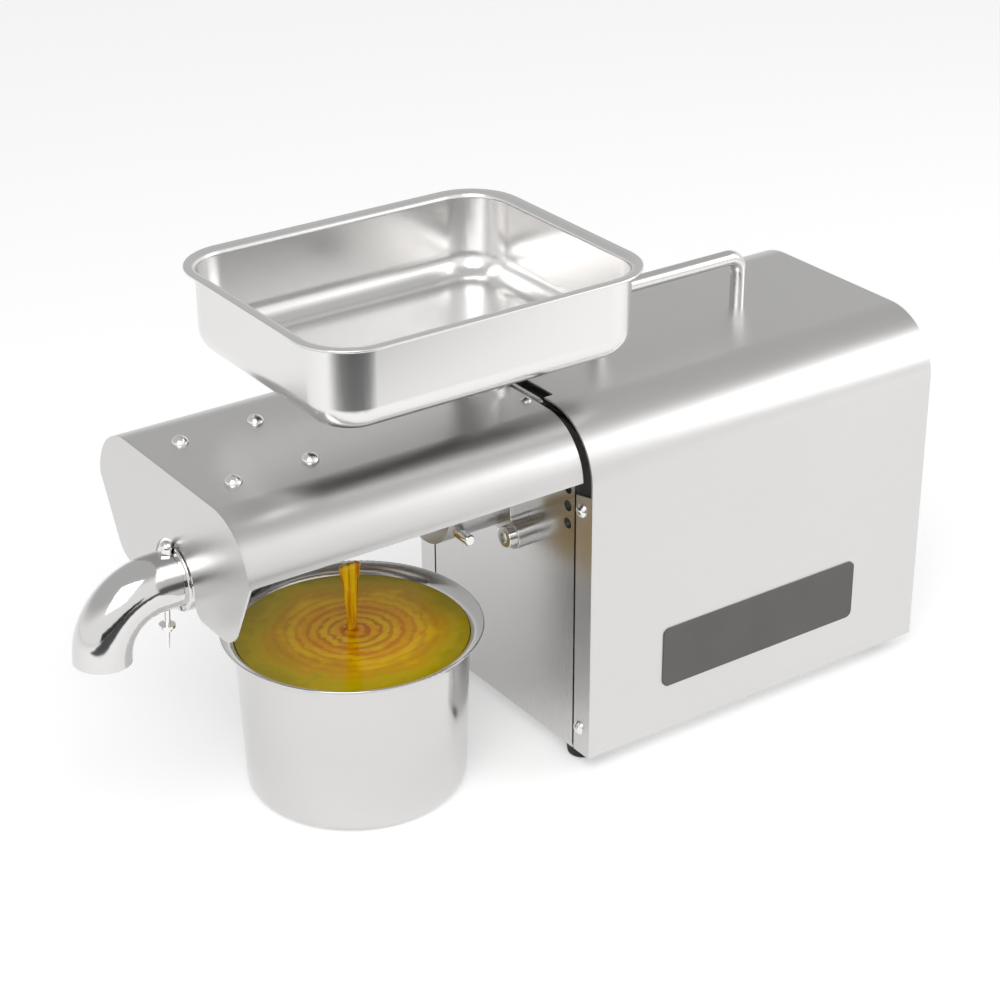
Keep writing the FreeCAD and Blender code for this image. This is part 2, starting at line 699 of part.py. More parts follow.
def make_feed_housing():
    body = feed_body_envelope().fuse(rod(FEED_SPIGOT_RADIUS, -1, GEARBOX_X))
    body = body.cut(rod(BORE_RADIUS, -FEED_LENGTH, -5))
    body = body.cut(rod(BARREL_RADIUS + RUNNING_FIT, -FEED_LENGTH - 1, SEAT_X))
    body = body.cut(rod(JOURNAL_RADIUS + RUNNING_FIT, -6, GEARBOX_X + 1))
    body = body.cut(post(FEED_HOLE, AXIS_Z, AXIS_Z + FEED_RADIUS + FEED_BOSS_RISE + 1, THROAT_X))
    for y, z in ear_centres():
        body = body.cut(rod(CAP_SHANK + SCREW_FIT, -FEED_FLANGE - 1, 1, y, z))
    pin_z = AXIS_Z - PIN_DROP
    body = body.cut(cross_rod(PIN_RADIUS + RUNNING_FIT, -HALF, HALF, PIN_X, pin_z))
    return body.removeSplitter()


def make_cap_screw(y, z):
    """Hex-socket cap screw through an ear of the feed housing into the gearbox."""
    face = -FEED_FLANGE
    screw = rod(CAP_HEAD, face - CAP_HEIGHT, face, y, z)
    rim = [e for e in screw.Edges if len(e.Vertexes) == 1 and e.CenterOfMass.x < face - 1]
    screw = screw.makeFillet(EAR_EDGE, rim)
    screw = screw.fuse(rod(CAP_SHANK, face, GEARBOX_X + CAP_GRIP, y, z))
    bottom = face - CAP_HEIGHT + CAP_SOCKET_DEPTH
    return screw.cut(hexagon(CAP_SOCKET, face - CAP_HEIGHT - 1, bottom, z, y)).removeSplitter()


def make_feed_throat():
    """Neck that leads from the tray through the hood into the feed housing."""
    z0 = AXIS_Z + FEED_RADIUS + FEED_BOSS_RISE
    throat = post(THROAT_RADIUS, z0, TRAY_BOTTOM, THROAT_X)
    throat = throat.fuse(post(THROAT_COLLAR, HOOD_TOP, HOOD_TOP + COLLAR_RISE, THROAT_X))
    throat = throat.cut(post(FEED_HOLE, z0 - 1, TRAY_BOTTOM, THROAT_X))
    recess = FEED_HOLE + TRAY_SHEET + SLIDE_FIT
    throat = throat.cut(post(recess, TRAY_BOTTOM - THROAT_RECESS, TRAY_BOTTOM + 1, THROAT_X))
    return throat.removeSplitter()


def make_locking_pin():
    """Cross pin that drops into the barrel's groove and keeps it in the feed housing."""
    z = AXIS_Z - PIN_DROP
    pin = cross_rod(PIN_RADIUS, -PIN_NEAR_END, 24, PIN_X, z)
    ends = [e for e in pin.Edges if len(e.Vertexes) == 1]
    return pin.makeChamfer(0.6, ends)


def make_press_barrel():
    """Press cage: plain bore, oil slots below, a groove for the locking pin."""
    barrel = rod(BARREL_RADIUS, BARREL_FRONT + 12, SEAT_X)
    barrel = barrel.fuse(rod(BARREL_RADIUS - 2, BARREL_FRONT, BARREL_FRONT + 13))
    barrel = barrel.cut(rod(BORE_RADIUS, BARREL_FRONT - 1, SEAT_X + 1))
    for k in range(12):
        x = POT_X - 33 + 6 * k
        slot = block(x, x + 1.0, -9, 9, AXIS_Z - BARREL_RADIUS - 1, AXIS_Z - 4)
        barrel = barrel.cut(slot)
    barrel = barrel.cut(cross_rod(PIN_RADIUS + 2 * RUNNING_FIT, -30, 30, PIN_X, AXIS_Z - PIN_DROP))
    return barrel.removeSplitter()


def make_nozzle_cap():
    """Cap screwed on the barrel's end, with a cone inside and a spigot for the elbow."""
    rear = BARREL_FRONT + 11.7
    cap = rod(NOZZLE_RADIUS, NOZZLE_FACE, rear)
    front = [e for e in cap.Edges if len(e.Vertexes) == 1 and e.CenterOfMass.x < NOZZLE_FACE + 1]
    cap = cap.makeFillet(NOZZLE_EDGE, front)
    cap = cap.fuse(rod(SPIGOT_RADIUS, NOZZLE_FACE - SPIGOT_LENGTH, NOZZLE_FACE + 1))
    cap = cap.cut(rod(BARREL_RADIUS - 2, BARREL_FRONT, rear + 1))
    cap = cap.cut(cone(OUTLET_RADIUS, BORE_RADIUS, NOZZLE_FACE + 2, BARREL_FRONT))
    cap = cap.cut(rod(OUTLET_RADIUS, NOZZLE_FACE - SPIGOT_LENGTH - 1, NOZZLE_FACE + 2))
    spot_face = post(SPOT_RADIUS, ELBOW_TOP - 1.2, ELBOW_TOP + BOLT_CAP_BASE + 1, BOLT_X)
    return cap.cut(tilted(spot_face)).cut(bolt_hole()).removeSplitter()


def screw_flight(x0, x1):
    """One helical flight of constant outer diameter, thicker at its foot than at its crest."""
    foot = FLIGHT_FOOT / 2
    crest = FLIGHT_CREST / 2
    inner = ROOT_FEED - 1.5
    helix = Part.makeLongHelix(FLIGHT_PITCH, x1 - x0, inner)
    profile = Part.makePolygon([
        Vector(inner, 0, -foot),
        Vector(FLIGHT_RADIUS, 0, -crest),
        Vector(FLIGHT_RADIUS, 0, crest),
        Vector(inner, 0, foot),
        Vector(inner, 0, -foot),
    ])
    flight = Part.Wire(helix.Edges).makePipeShell([profile], True, True)
    flight.Placement = FreeCAD.Placement(Vector(x0, 0, AXIS_Z), FreeCAD.Rotation(Y_AXIS, 90))
    return flight


def make_press_screw():
    """Worm: a root that thickens towards the nozzle inside a flight of constant diameter."""
    feed_end = SEAT_X - 12
    tip = BARREL_FRONT + 4
    worm = rod(ROOT_FEED, feed_end, -5.5).fuse(cone(ROOT_PRESS, ROOT_FEED, tip, feed_end))
    worm = worm.fuse(screw_flight(tip + 3, -8))
    worm = worm.fuse(cone(ROOT_PRESS - 3, ROOT_PRESS, tip - 8, tip))
    worm = worm.fuse(rod(JOURNAL_RADIUS, -5.5, GEARBOX_X + 0.5))
    return worm.fuse(hexagon(TANG_FLATS, GEARBOX_X, GEARBOX_X + TANG_LENGTH))


def make_barrel_heater():
    """Half-shell heating block that sits on the barrel for hot pressing."""
    x0 = HEATER_FRONT
    x1 = HEATER_REAR
    heater = rod(BARREL_RADIUS + HEATER_WALL, x0, x1).cut(rod(BARREL_RADIUS, x0 - 1, x1 + 1))
    heater = heater.cut(block(x0 - 1, x1 + 1, -40, 40, AXIS_Z - 40, AXIS_Z + 0.5))
    heater = heater.fuse(block(x0 + 8, x1 - 8, -11, 11, AXIS_Z + BARREL_RADIUS + 4,
                               AXIS_Z + BARREL_RADIUS + 12))
    for side in (-1, 1):
        heater = heater.fuse(rod(3.0, x0 - 6, x0 + 4, side * 20, AXIS_Z + 10))
    return heater.removeSplitter()


def make_heater_thermostat():
    """Snap-disc thermostat on top of the heating block."""
    z = AXIS_Z + BARREL_RADIUS + 12
    x = (HEATER_FRONT + HEATER_REAR) / 2
    disc = post(8.0, z, z + 7, x)
    for side in (-1, 1):
        disc = disc.fuse(block(x - 3, x + 3, side * 5 - 0.5, side * 5 + 0.5, z + 6, z + 13))
    return disc.removeSplitter()


# ---- residue elbow ---------------------------------------------------------------------
def tube_sweep(radius):
    """Solid elbow of one radius: straight start, bend, short straight end."""
    x0 = NOZZLE_FACE
    x1 = x0 - ELBOW_STRAIGHT
    start = rod(radius, x1, x0)
    section = Part.Face(Part.Wire(Part.makeCircle(radius, Vector(x1, 0, AXIS_Z), X_AXIS)))
    pivot = Vector(x1, 0, AXIS_Z - ELBOW_BEND)
    bend = section.revolve(pivot, Y_AXIS, -ELBOW_SWEEP)
    sweep = math.radians(ELBOW_SWEEP)
    end = Vector(x1 - ELBOW_BEND * math.sin(sweep), 0,
                 AXIS_Z - ELBOW_BEND + ELBOW_BEND * math.cos(sweep))
    down = Vector(-math.cos(sweep), 0, -math.sin(sweep))
    tail = Part.makeCylinder(radius, ELBOW_TAIL, end, down)
    return start.fuse(bend).fuse(tail).removeSplitter()


def tilted(shape):
    """The elbow's bolt line leans a little towards the housing."""
    shape.rotate(Vector(BOLT_X, 0, NUT_Z), Y_AXIS, BOLT_TILT)
    return shape


def bolt_hole():
    return tilted(post(BOLT_RADIUS, NUT_Z, ELBOW_TOP + BOLT_CAP_BASE, BOLT_X))


def make_residue_elbow():
    elbow = tube_sweep(ELBOW_RADIUS).cut(tube_sweep(ELBOW_RADIUS - ELBOW_WALL))
    return elbow.cut(bolt_hole())


def make_elbow_bolt():
    """Bolt down through elbow and spigot: a domed six-sided head and a thinner threaded end."""
    bolt = post(BOLT_RADIUS, NUT_Z + NUT_FLANGE_RISE, ELBOW_TOP + 1, BOLT_X)
    bolt = bolt.fuse(post(BOLT_THREAD, NUT_Z - BOLT_DROP, NUT_Z + 2, BOLT_X))
    low = ELBOW_TOP - 1
    head = hexagon(BOLT_CAP_FLATS, 0, 1 + BOLT_CAP_BASE, 0, 0)
    head.Placement = FreeCAD.Placement(Vector(BOLT_X, 0, low + 1 + BOLT_CAP_BASE),
                                       FreeCAD.Rotation(Y_AXIS, 90))
    crown = dome(BOLT_CAP_FLATS / 2, BOLT_CAP_DOME)
    crown.translate(Vector(BOLT_X, 0, low + 1 + BOLT_CAP_BASE))
    head = tilted(head.fuse(crown)).cut(tube_sweep(ELBOW_RADIUS))
    return tilted(bolt).fuse(head).removeSplitter()


def make_elbow_nut():
    """Flanged nut on the bolt's threaded end."""
    nut = post(NUT_FLANGE, NUT_Z, NUT_Z + NUT_FLANGE_RISE, BOLT_X)
    nut = nut.fuse(post(NUT_RADIUS, NUT_Z - NUT_RISE, NUT_Z, BOLT_X))
    nut = nut.cut(post(BOLT_THREAD, NUT_Z - NUT_RISE - 1, NUT_Z + 2, BOLT_X))
    return tilted(nut)


# ---- feed tray -------------------------------------------------------------------------
def arc_points(u, z, radius, start, stop, count):
    """Points on an arc in the (offset, height) plane of a section."""
    points = []
    for k in range(count + 1):
        angle = math.radians(start + (stop - start) * k / count)
        points.append((u + radius * math.cos(angle), z + radius * math.sin(angle)))
    return points


def section_face(points, place):
    """Section drawn with arcs: each item is a point, or three points of one arc."""
    edges = []
    last = None
    for item in points:
        if len(item) == 3:
            a, b, c = [place(p) for p in item]
            if last is not None and last.distanceToPoint(a) > 1e-6:
                edges.append(Part.makeLine(last, a))
            edges.append(Part.Arc(a, b, c).toShape())
            last = c
        else:
            a = place(item)
            if last is not None and last.distanceToPoint(a) > 1e-6:
                edges.append(Part.makeLine(last, a))
            last = a
    first = points[0][0] if len(points[0]) == 3 else points[0]
    edges.append(Part.makeLine(last, place(first)))
    return Part.Face(Part.Wire(edges))


def arc3(u, z, radius, start, stop):
    """Start, middle and end point of an arc."""
    return tuple(arc_points(u, z, radius, start, stop, 2))


def tray_section():
    """Wall of the tray from the floor's edge, round the bottom, up and out over the rim."""
    c = TRAY_CORNER
    t = TRAY_SHEET
    rb = TRAY_BOTTOM_RADIUS
    rl = TRAY_LIP_RADIUS
    edge = c + TRAY_RIM
    bead = TRAY_BEAD
    return [
        arc3(c - rb, TRAY_BOTTOM + rb, rb, -90, 0),
        arc3(c + rl, TRAY_TOP - t - rl, rl, 180, 90),
        (edge - bead, TRAY_TOP - t),
        arc3(edge - bead, TRAY_TOP - bead, bead, -90, 90),
        arc3(c + rl, TRAY_TOP - t - rl, rl + t, 90, 180),
        arc3(c - rb, TRAY_BOTTOM + rb, rb - t, 0, -90),
    ]


def make_feed_tray():
    """Pressed pan with rounded corners, a curved-out rim and an outlet spigot."""
    hx = TRAY_HALF_LENGTH - TRAY_CORNER
    hy = TRAY_HALF_WIDTH - TRAY_CORNER
    section = tray_section()
    corner_x = section_face(section, lambda p: Vector(TRAY_X + hx + p[0], -hy, p[1]))
    corner_y = section_face(section, lambda p: Vector(TRAY_X - hx, hy + p[0], p[1]))
    side_x = corner_x.extrude(Vector(0, 2 * hy, 0))
    side_y = corner_y.extrude(Vector(2 * hx, 0, 0))
    centre = Vector(TRAY_X + hx, hy, 0)
    turned = section_face(section, lambda p: Vector(TRAY_X + hx + p[0], hy, p[1]))
    corner = turned.revolve(centre, Z_AXIS, 90)
    middle = Vector(TRAY_X, 0, 0)
    quarter = [side_x, side_y, corner, corner.mirror(middle, Y_AXIS)]
    pieces = quarter + [
        side_x.mirror(middle, X_AXIS),
        side_y.mirror(middle, Y_AXIS),
        corner.mirror(middle, X_AXIS),
        corner.mirror(middle, X_AXIS).mirror(middle, Y_AXIS),
    ]
    floor_r = TRAY_CORNER - TRAY_BOTTOM_RADIUS
    floor = block(TRAY_X - hx - floor_r, TRAY_X + hx + floor_r, -hy - floor_r, hy + floor_r,
                  TRAY_BOTTOM, TRAY_BOTTOM + TRAY_SHEET)
    upright = [e for e in floor.Edges if abs(e.tangentAt(e.FirstParameter).z) > 0.9]
    tray = floor.makeFillet(floor_r, upright)
    tray = tray.multiFuse(pieces)
    low = TRAY_BOTTOM - TRAY_SPIGOT
    tray = tray.fuse(post(FEED_HOLE + TRAY_SHEET, low, TRAY_BOTTOM + TRAY_SHEET / 2, THROAT_X))
    tray = tray.cut(post(FEED_HOLE, low - 1, TRAY_BOTTOM + 2 * TRAY_SHEET, THROAT_X))
    return tray.removeSplitter()


# ---- oil pot ---------------------------------------------------------------------------
def make_oil_pot():
    """Spun cup: slightly tapered wall, rounded base edge, curved-out rim with a rolled edge."""
    t = POT_SHEET
    flare = POT_FLARE
    slope = POT_FLARE_SLOPE
    turn = 90 - slope
    reach = flare * (1 - math.cos(math.radians(turn)))
    rise = flare * math.sin(math.radians(turn))
    straight = (POT_RIM_RADIUS - POT_TOP_RADIUS - reach) / math.cos(math.radians(slope))
    bead = POT_BEAD
    neck_z = POT_HEIGHT - rise - straight * math.sin(math.radians(slope)) - bead
    c = Vector(math.cos(math.radians(slope)), 0, math.sin(math.radians(slope)))
    n = Vector(-c.z, 0, c.x)

    def at(u, z):
        return Vector(POT_X + u, POT_Y, z)

    def arc(u, z, radius, start, stop):
        a, b, d = arc3(u, z, radius, start, stop)
        return Part.Arc(at(*a), at(*b), at(*d)).toShape()

    base_outer = arc(POT_BASE_RADIUS - POT_CORNER, POT_CORNER, POT_CORNER, -90, 0)
    flare_outer = arc(POT_TOP_RADIUS + flare, neck_z, flare, 180, 180 - turn)
    flare_inner = arc(POT_TOP_RADIUS + flare, neck_z, flare + t, 180 - turn, 180)
    base_inner = arc(POT_BASE_RADIUS - POT_CORNER, POT_CORNER, POT_CORNER - t, 0, -90)
    lip_low = flare_outer.Vertexes[-1].Point + c * (straight - bead)
    lip_top = flare_inner.Vertexes[0].Point + c * (straight - bead)
    if flare_outer.Vertexes[0].Point.z > flare_outer.Vertexes[-1].Point.z:
        lip_low = flare_outer.Vertexes[0].Point + c * (straight - bead)
    if flare_inner.Vertexes[0].Point.z < flare_inner.Vertexes[-1].Point.z:
        lip_top = flare_inner.Vertexes[-1].Point + c * (straight - bead)
    middle = (lip_low + lip_top) * 0.5 + c * bead
    edge = Part.Arc(lip_low, middle, lip_top).toShape()
    outer_neck = at(POT_TOP_RADIUS, neck_z)
    inner_neck = at(POT_TOP_RADIUS - t, neck_z)
    lines = [
        Part.makeLine(at(0, 0), at(POT_BASE_RADIUS - POT_CORNER, 0)),
        base_outer,
        Part.makeLine(at(POT_BASE_RADIUS, POT_CORNER), outer_neck),
        flare_outer,
        Part.makeLine(lip_low - c * (straight - bead), lip_low),
        edge,
        Part.makeLine(lip_top, lip_top - c * (straight - bead)),
        flare_inner,
        Part.makeLine(inner_neck, at(POT_BASE_RADIUS - t, POT_CORNER)),
        base_inner,
        Part.makeLine(at(POT_BASE_RADIUS - POT_CORNER, t), at(0, t)),
        Part.makeLine(at(0, t), at(0, 0)),
    ]
    wire = Part.Wire(Part.__sortEdges__(lines))
    return Part.Face(wire).revolve(Vector(POT_X, POT_Y, 0), Z_AXIS, 360)


# ---- drive -----------------------------------------------------------------------------
def make_gearbox():
    """Closed cast gear case hung behind the chassis plate, ribbed round its sides."""
    x0 = GEARBOX_X
    x1 = x0 + GEARBOX_DEPTH
    case = case_outline(GEARBOX_RADIUS, x0, x1)
    case = case.fuse(case_outline(GEARBOX_RADIUS + RIB_HEIGHT, x0 + RIB_OFFSET,
                                  x0 + RIB_OFFSET + RIB_WIDTH))
    case = case.cut(rod(BEARING_RADIUS, x0 - 1, x0 + BEARING_SEAT))
    case = case.cut(rod(SHAFT_RADIUS + SLIDE_FIT, x0, x0 + SHAFT_LENGTH + SLIDE_FIT))
    depth = x1 - MOTOR_SCREW_DEPTH
    case = case.cut(rod(MOTOR_SHAFT_RADIUS + SLIDE_FIT, depth, x1 + 1, 0, MOTOR_Z))
    for y, z in ear_centres():
        case = case.cut(rod(CAP_SHANK + SCREW_FIT, x0 - 1, x0 + CAP_GRIP, y, z))
    for y, z in gearbox_screw_centres():
        case = case.cut(rod(M5["shank"] + SCREW_FIT, depth, x1 + 1, y, z))
    return case.removeSplitter()


def case_outline(radius, x0, x1):
    """Two bosses, round the press axis and the motor's, joined by straight sides."""
    case = rod(radius, x0, x1).fuse(rod(radius, x0, x1, 0, MOTOR_Z))
    return case.fuse(block(x0, x1, -radius, radius, MOTOR_Z, AXIS_Z))


def gearbox_screw_centres():
    """(y, z) of the screws that join the motor's flange to the gear case."""
    sides = (-1, 1)
    return [(sy * MOTOR_SCREW_Y, MOTOR_Z + sz * MOTOR_SCREW_Z) for sy in sides for sz in sides]


def make_output_shaft():
    """Hollow-ended shaft that the press screw's six-sided tang plugs into."""
    x0 = GEARBOX_X + 1
    shaft = rod(SHAFT_RADIUS, x0, GEARBOX_X + SHAFT_LENGTH)
    return shaft.cut(hexagon(TANG_FLATS + 0.2, x0 - 2, GEARBOX_X + TANG_LENGTH + 1))


def make_output_bearing():
    x0 = GEARBOX_X + 2
    ring = rod(BEARING_RADIUS, x0, x0 + BEARING_DEPTH)
    ring = ring.cut(rod(SHAFT_RADIUS + RUNNING_FIT, x0 - 1, x0 + BEARING_DEPTH + 1))
    inner = SHAFT_RADIUS + 2.5
    outer = BEARING_RADIUS - 2.5
    return ring.cut(rod(outer, x0 - 1, x0 + 0.8).cut(rod(inner, x0 - 2, x0 + 1)))


def make_motor_housing():
    """Motor can with a mounting flange, a finned body and an open rear bearing seat."""
    x0 = MOTOR_X
    x1 = x0 + MOTOR_LENGTH
    can = rod(MOTOR_RADIUS - MOTOR_FIN, x0, x1, 0, MOTOR_Z)
    can = can.fuse(rod(MOTOR_RADIUS, x0, x0 + MOTOR_FLANGE, 0, MOTOR_Z))
    can = can.fuse(rod(MOTOR_RADIUS, x1 - MOTOR_REAR_RING, x1, 0, MOTOR_Z))
    for k in range(MOTOR_FIN_COUNT):
        x = x0 + MOTOR_FLANGE + 10 + MOTOR_FIN_PITCH * k
        can = can.fuse(rod(MOTOR_RADIUS, x, x + MOTOR_FIN, 0, MOTOR_Z))
    can = can.cut(rod(MOTOR_SHAFT_RADIUS + SLIDE_FIT, x0 - 1, x1 + 1, 0, MOTOR_Z))
    for y, z in gearbox_screw_centres():
        can = can.cut(rod(M5["shank"] + SCREW_FIT, x0 - 1, x0 + MOTOR_FLANGE + 1, y, z))
        pocket = x0 + MOTOR_FLANGE
        can = can.cut(rod(M5["head"] + SLIDE_FIT, pocket, pocket + M5["rise"] + 3, y, z))
    return can.removeSplitter()


def make_motor_shaft():
    x1 = MOTOR_X + MOTOR_LENGTH
    x0 = MOTOR_X - MOTOR_SCREW_DEPTH + 2
    return rod(MOTOR_SHAFT_RADIUS, x0, x1 + MOTOR_TAIL, 0, MOTOR_Z)


def make_cooling_fan():
    """Fan on the tail of the motor shaft."""
    x0 = MOTOR_X + MOTOR_LENGTH + FAN_GAP
    x1 = x0 + FAN_DEPTH
    fan = rod(FAN_HUB, x0, x1, 0, MOTOR_Z)
    foot = FAN_HUB - 2
    blade = polygon([
        Vector(x0 + 1, -1.2, foot),
        Vector(x0 + 1, 0.8, foot),
        Vector(x1 - 1, 6.0, foot),
        Vector(x1 - 1, 4.0, foot),
    ]).extrude(Vector(0, 0, FAN_RADIUS - foot))
    blade.translate(Vector(0, 0, MOTOR_Z))
    for k in range(FAN_BLADES):
        turned = blade.copy()
        turned.rotate(Vector(0, 0, MOTOR_Z), X_AXIS, 360.0 * k / FAN_BLADES)
        fan = fan.fuse(turned)
    return fan.cut(rod(MOTOR_SHAFT_RADIUS, x0 - 1, x1 + 1, 0, MOTOR_Z)).removeSplitter()


def make_motor_cradle():
    """Bent strip on the base plate that carries the motor's rear end."""
    x0 = MOTOR_X + MOTOR_LENGTH - CRADLE_INSET
    x1 = x0 + CRADLE_DEPTH
    z0 = FLOOR_Z + PANEL_SHEET
    cradle = block(x0, x1, -CRADLE_HALF, CRADLE_HALF, z0, MOTOR_Z - CRADLE_DROP)
    cradle = cradle.cut(rod(MOTOR_RADIUS, x0 - 1, x1 + 1, 0, MOTOR_Z))
    sill = z0 + CRADLE_WINDOW_RISE
    window = block(x0 - 1, x1 + 1, -CRADLE_WINDOW_HALF, CRADLE_WINDOW_HALF, sill,
                   sill + CRADLE_WINDOW_HEIGHT)
    cradle = cradle.cut(window)
    hollow = block(x0 + CRADLE_SHEET, x1 + 1, -HALF, HALF, z0 + CRADLE_SHEET, AXIS_Z)
    return cradle.cut(hollow).removeSplitter()


# ---- electrics -------------------------------------------------------------------------
def switch_block(y, x0, x1, shrink):
    """Block on a switch's centre, smaller than its rim by shrink in width and height."""
    half_w = (SWITCH_WIDTH - shrink) / 2
    half_h = (SWITCH_HEIGHT - shrink) / 2
    return block(x0, x1, y - half_w, y + half_w, SWITCH_Z - half_h, SWITCH_Z + half_h)


def make_switch_bezel(y):
    """Frame of a rocker switch, clipped into the rear panel from outside."""
    face = SHELL_LENGTH - SHEET
    bezel = switch_block(y, face, face + BEZEL_RIM, 0)
    bezel = bezel.fuse(switch_block(y, face - BEZEL_DEPTH, face, 2 * BEZEL_WALL))
    return bezel.cut(switch_block(y, face - BEZEL_RECESS, face + BEZEL_RIM + 1, 4 * BEZEL_WALL))


def make_rocker(y, tilt):
    """Rocker with two angled faces, tilted about a cross axis inside the bezel."""
    half_w = SWITCH_WIDTH / 2 - 2 * BEZEL_WALL - 0.4
    half_h = SWITCH_HEIGHT / 2 - 2 * BEZEL_WALL - 1.2
    pivot = rocker_pivot_x()
    rocker = polygon([
        Vector(pivot - 1, y - half_w, SWITCH_Z - half_h + 3),
        Vector(pivot + 6.4, y - half_w, SWITCH_Z - half_h),
        Vector(pivot + 4.2, y - half_w, SWITCH_Z),
        Vector(pivot + 6.4, y - half_w, SWITCH_Z + half_h),
        Vector(pivot - 1, y - half_w, SWITCH_Z + half_h - 3),
    ]).extrude(Vector(0, 2 * half_w, 0))
    rocker.rotate(Vector(pivot, y, SWITCH_Z), Y_AXIS, tilt)
    return rocker


def rocker_pivot_x():
    return SHELL_LENGTH - SHEET - 2.6


def inlet_block(x0, x1, shrink):
    """Block on the inlet's centre, narrower than its body by shrink on each side."""
    half_w = INLET_HALF_WIDTH - shrink
    half_h = INLET_HALF_HEIGHT - shrink
    return block(x0, x1, INLET_Y - half_w, INLET_Y + half_w, INLET_Z - half_h, INLET_Z + half_h)


def make_power_inlet():
    """Three-pin appliance inlet with a recessed mouth."""
    face = SHELL_LENGTH - SHEET
    half_h = INLET_HALF_HEIGHT + INLET_WALL
    inlet = block(face, face + INLET_RIM, INLET_Y - INLET_RIM_HALF, INLET_Y + INLET_RIM_HALF,
                  INLET_Z - half_h, INLET_Z + half_h)
    edges = [e for e in inlet.Edges if abs(e.tangentAt(e.FirstParameter).x) > 0.9]
    inlet = inlet.makeFillet(INLET_RIM_CORNER, edges)
    inlet = inlet.fuse(inlet_block(face - INLET_DEPTH, face, 0))
    mouth = inlet_block(face - INLET_RECESS, face + INLET_RIM + 1, INLET_WALL)
    upper = [e for e in mouth.Edges if abs(e.tangentAt(e.FirstParameter).x) > 0.9
             and e.CenterOfMass.z > INLET_Z]
    inlet = inlet.cut(mouth.makeChamfer(INLET_CHAMFER, upper))
    for side, rise in ((-1, 0), (0, PIN_RISE), (1, 0)):
        y = INLET_Y + side * PIN_PITCH
        z = INLET_Z + rise
        inlet = inlet.fuse(block(face - INLET_RECESS - 1, face - 3, y - PIN_HALF_WIDTH,
                                 y + PIN_HALF_WIDTH, z - PIN_HALF_HEIGHT, z + PIN_HALF_HEIGHT))
    return inlet.removeSplitter()


def make_control_board():
    return block(BOARD_X, BOARD_X + BOARD_LENGTH, BOARD_Y - BOARD_SHEET, BOARD_Y,
                 BOARD_LOW, BOARD_LOW + BOARD_HEIGHT)


def make_board_components():
    """Relays, terminal strip and capacitor on the control board."""
    x0 = BOARD_X + PART_MARGIN
    x1 = BOARD_X + BOARD_LENGTH - PART_MARGIN
    low = BOARD_LOW + PART_MARGIN
    parts = []
    for k in range(2):
        z = low + RELAY_PITCH * k
        parts.append(block(x0, x0 + RELAY_LENGTH, BOARD_Y, BOARD_Y + RELAY_DEPTH, z, z + RELAY_HEIGHT))
    parts.append(block(x1 - TERMINAL_LENGTH, x1, BOARD_Y, BOARD_Y + TERMINAL_DEPTH,
                       low, low + TERMINAL_HEIGHT))
    z = BOARD_LOW + BOARD_HEIGHT - CAPACITOR_RADIUS - PART_MARGIN
    x = BOARD_X + BOARD_LENGTH / 2
    parts.append(cross_rod(CAPACITOR_RADIUS, BOARD_Y, BOARD_Y + CAPACITOR_LENGTH, x, z))
    return parts


def make_board_bracket():
    """Angle on the base plate with two stand-offs that hold the board."""
    x0 = BOARD_X
    x1 = BOARD_X + BOARD_LENGTH
    z0 = FLOOR_Z + PANEL_SHEET
    back = BOARD_Y - BOARD_SHEET - STAND_OFF
    y0 = back - BRACKET_SHEET
    bracket = block(x0, x1, y0, back, z0, BRACKET_TOP)
    bracket = bracket.fuse(block(x0, x1, y0, y0 + BRACKET_FOOT, z0, z0 + BRACKET_SHEET))
    for x in (x0 + STAND_OFF_MARGIN, x1 - STAND_OFF_MARGIN):
        bracket = bracket.fuse(cross_rod(STAND_OFF_RADIUS, back, back + STAND_OFF, x,
                                         BOARD_LOW + STAND_OFF_RISE))
    return bracket.removeSplitter()


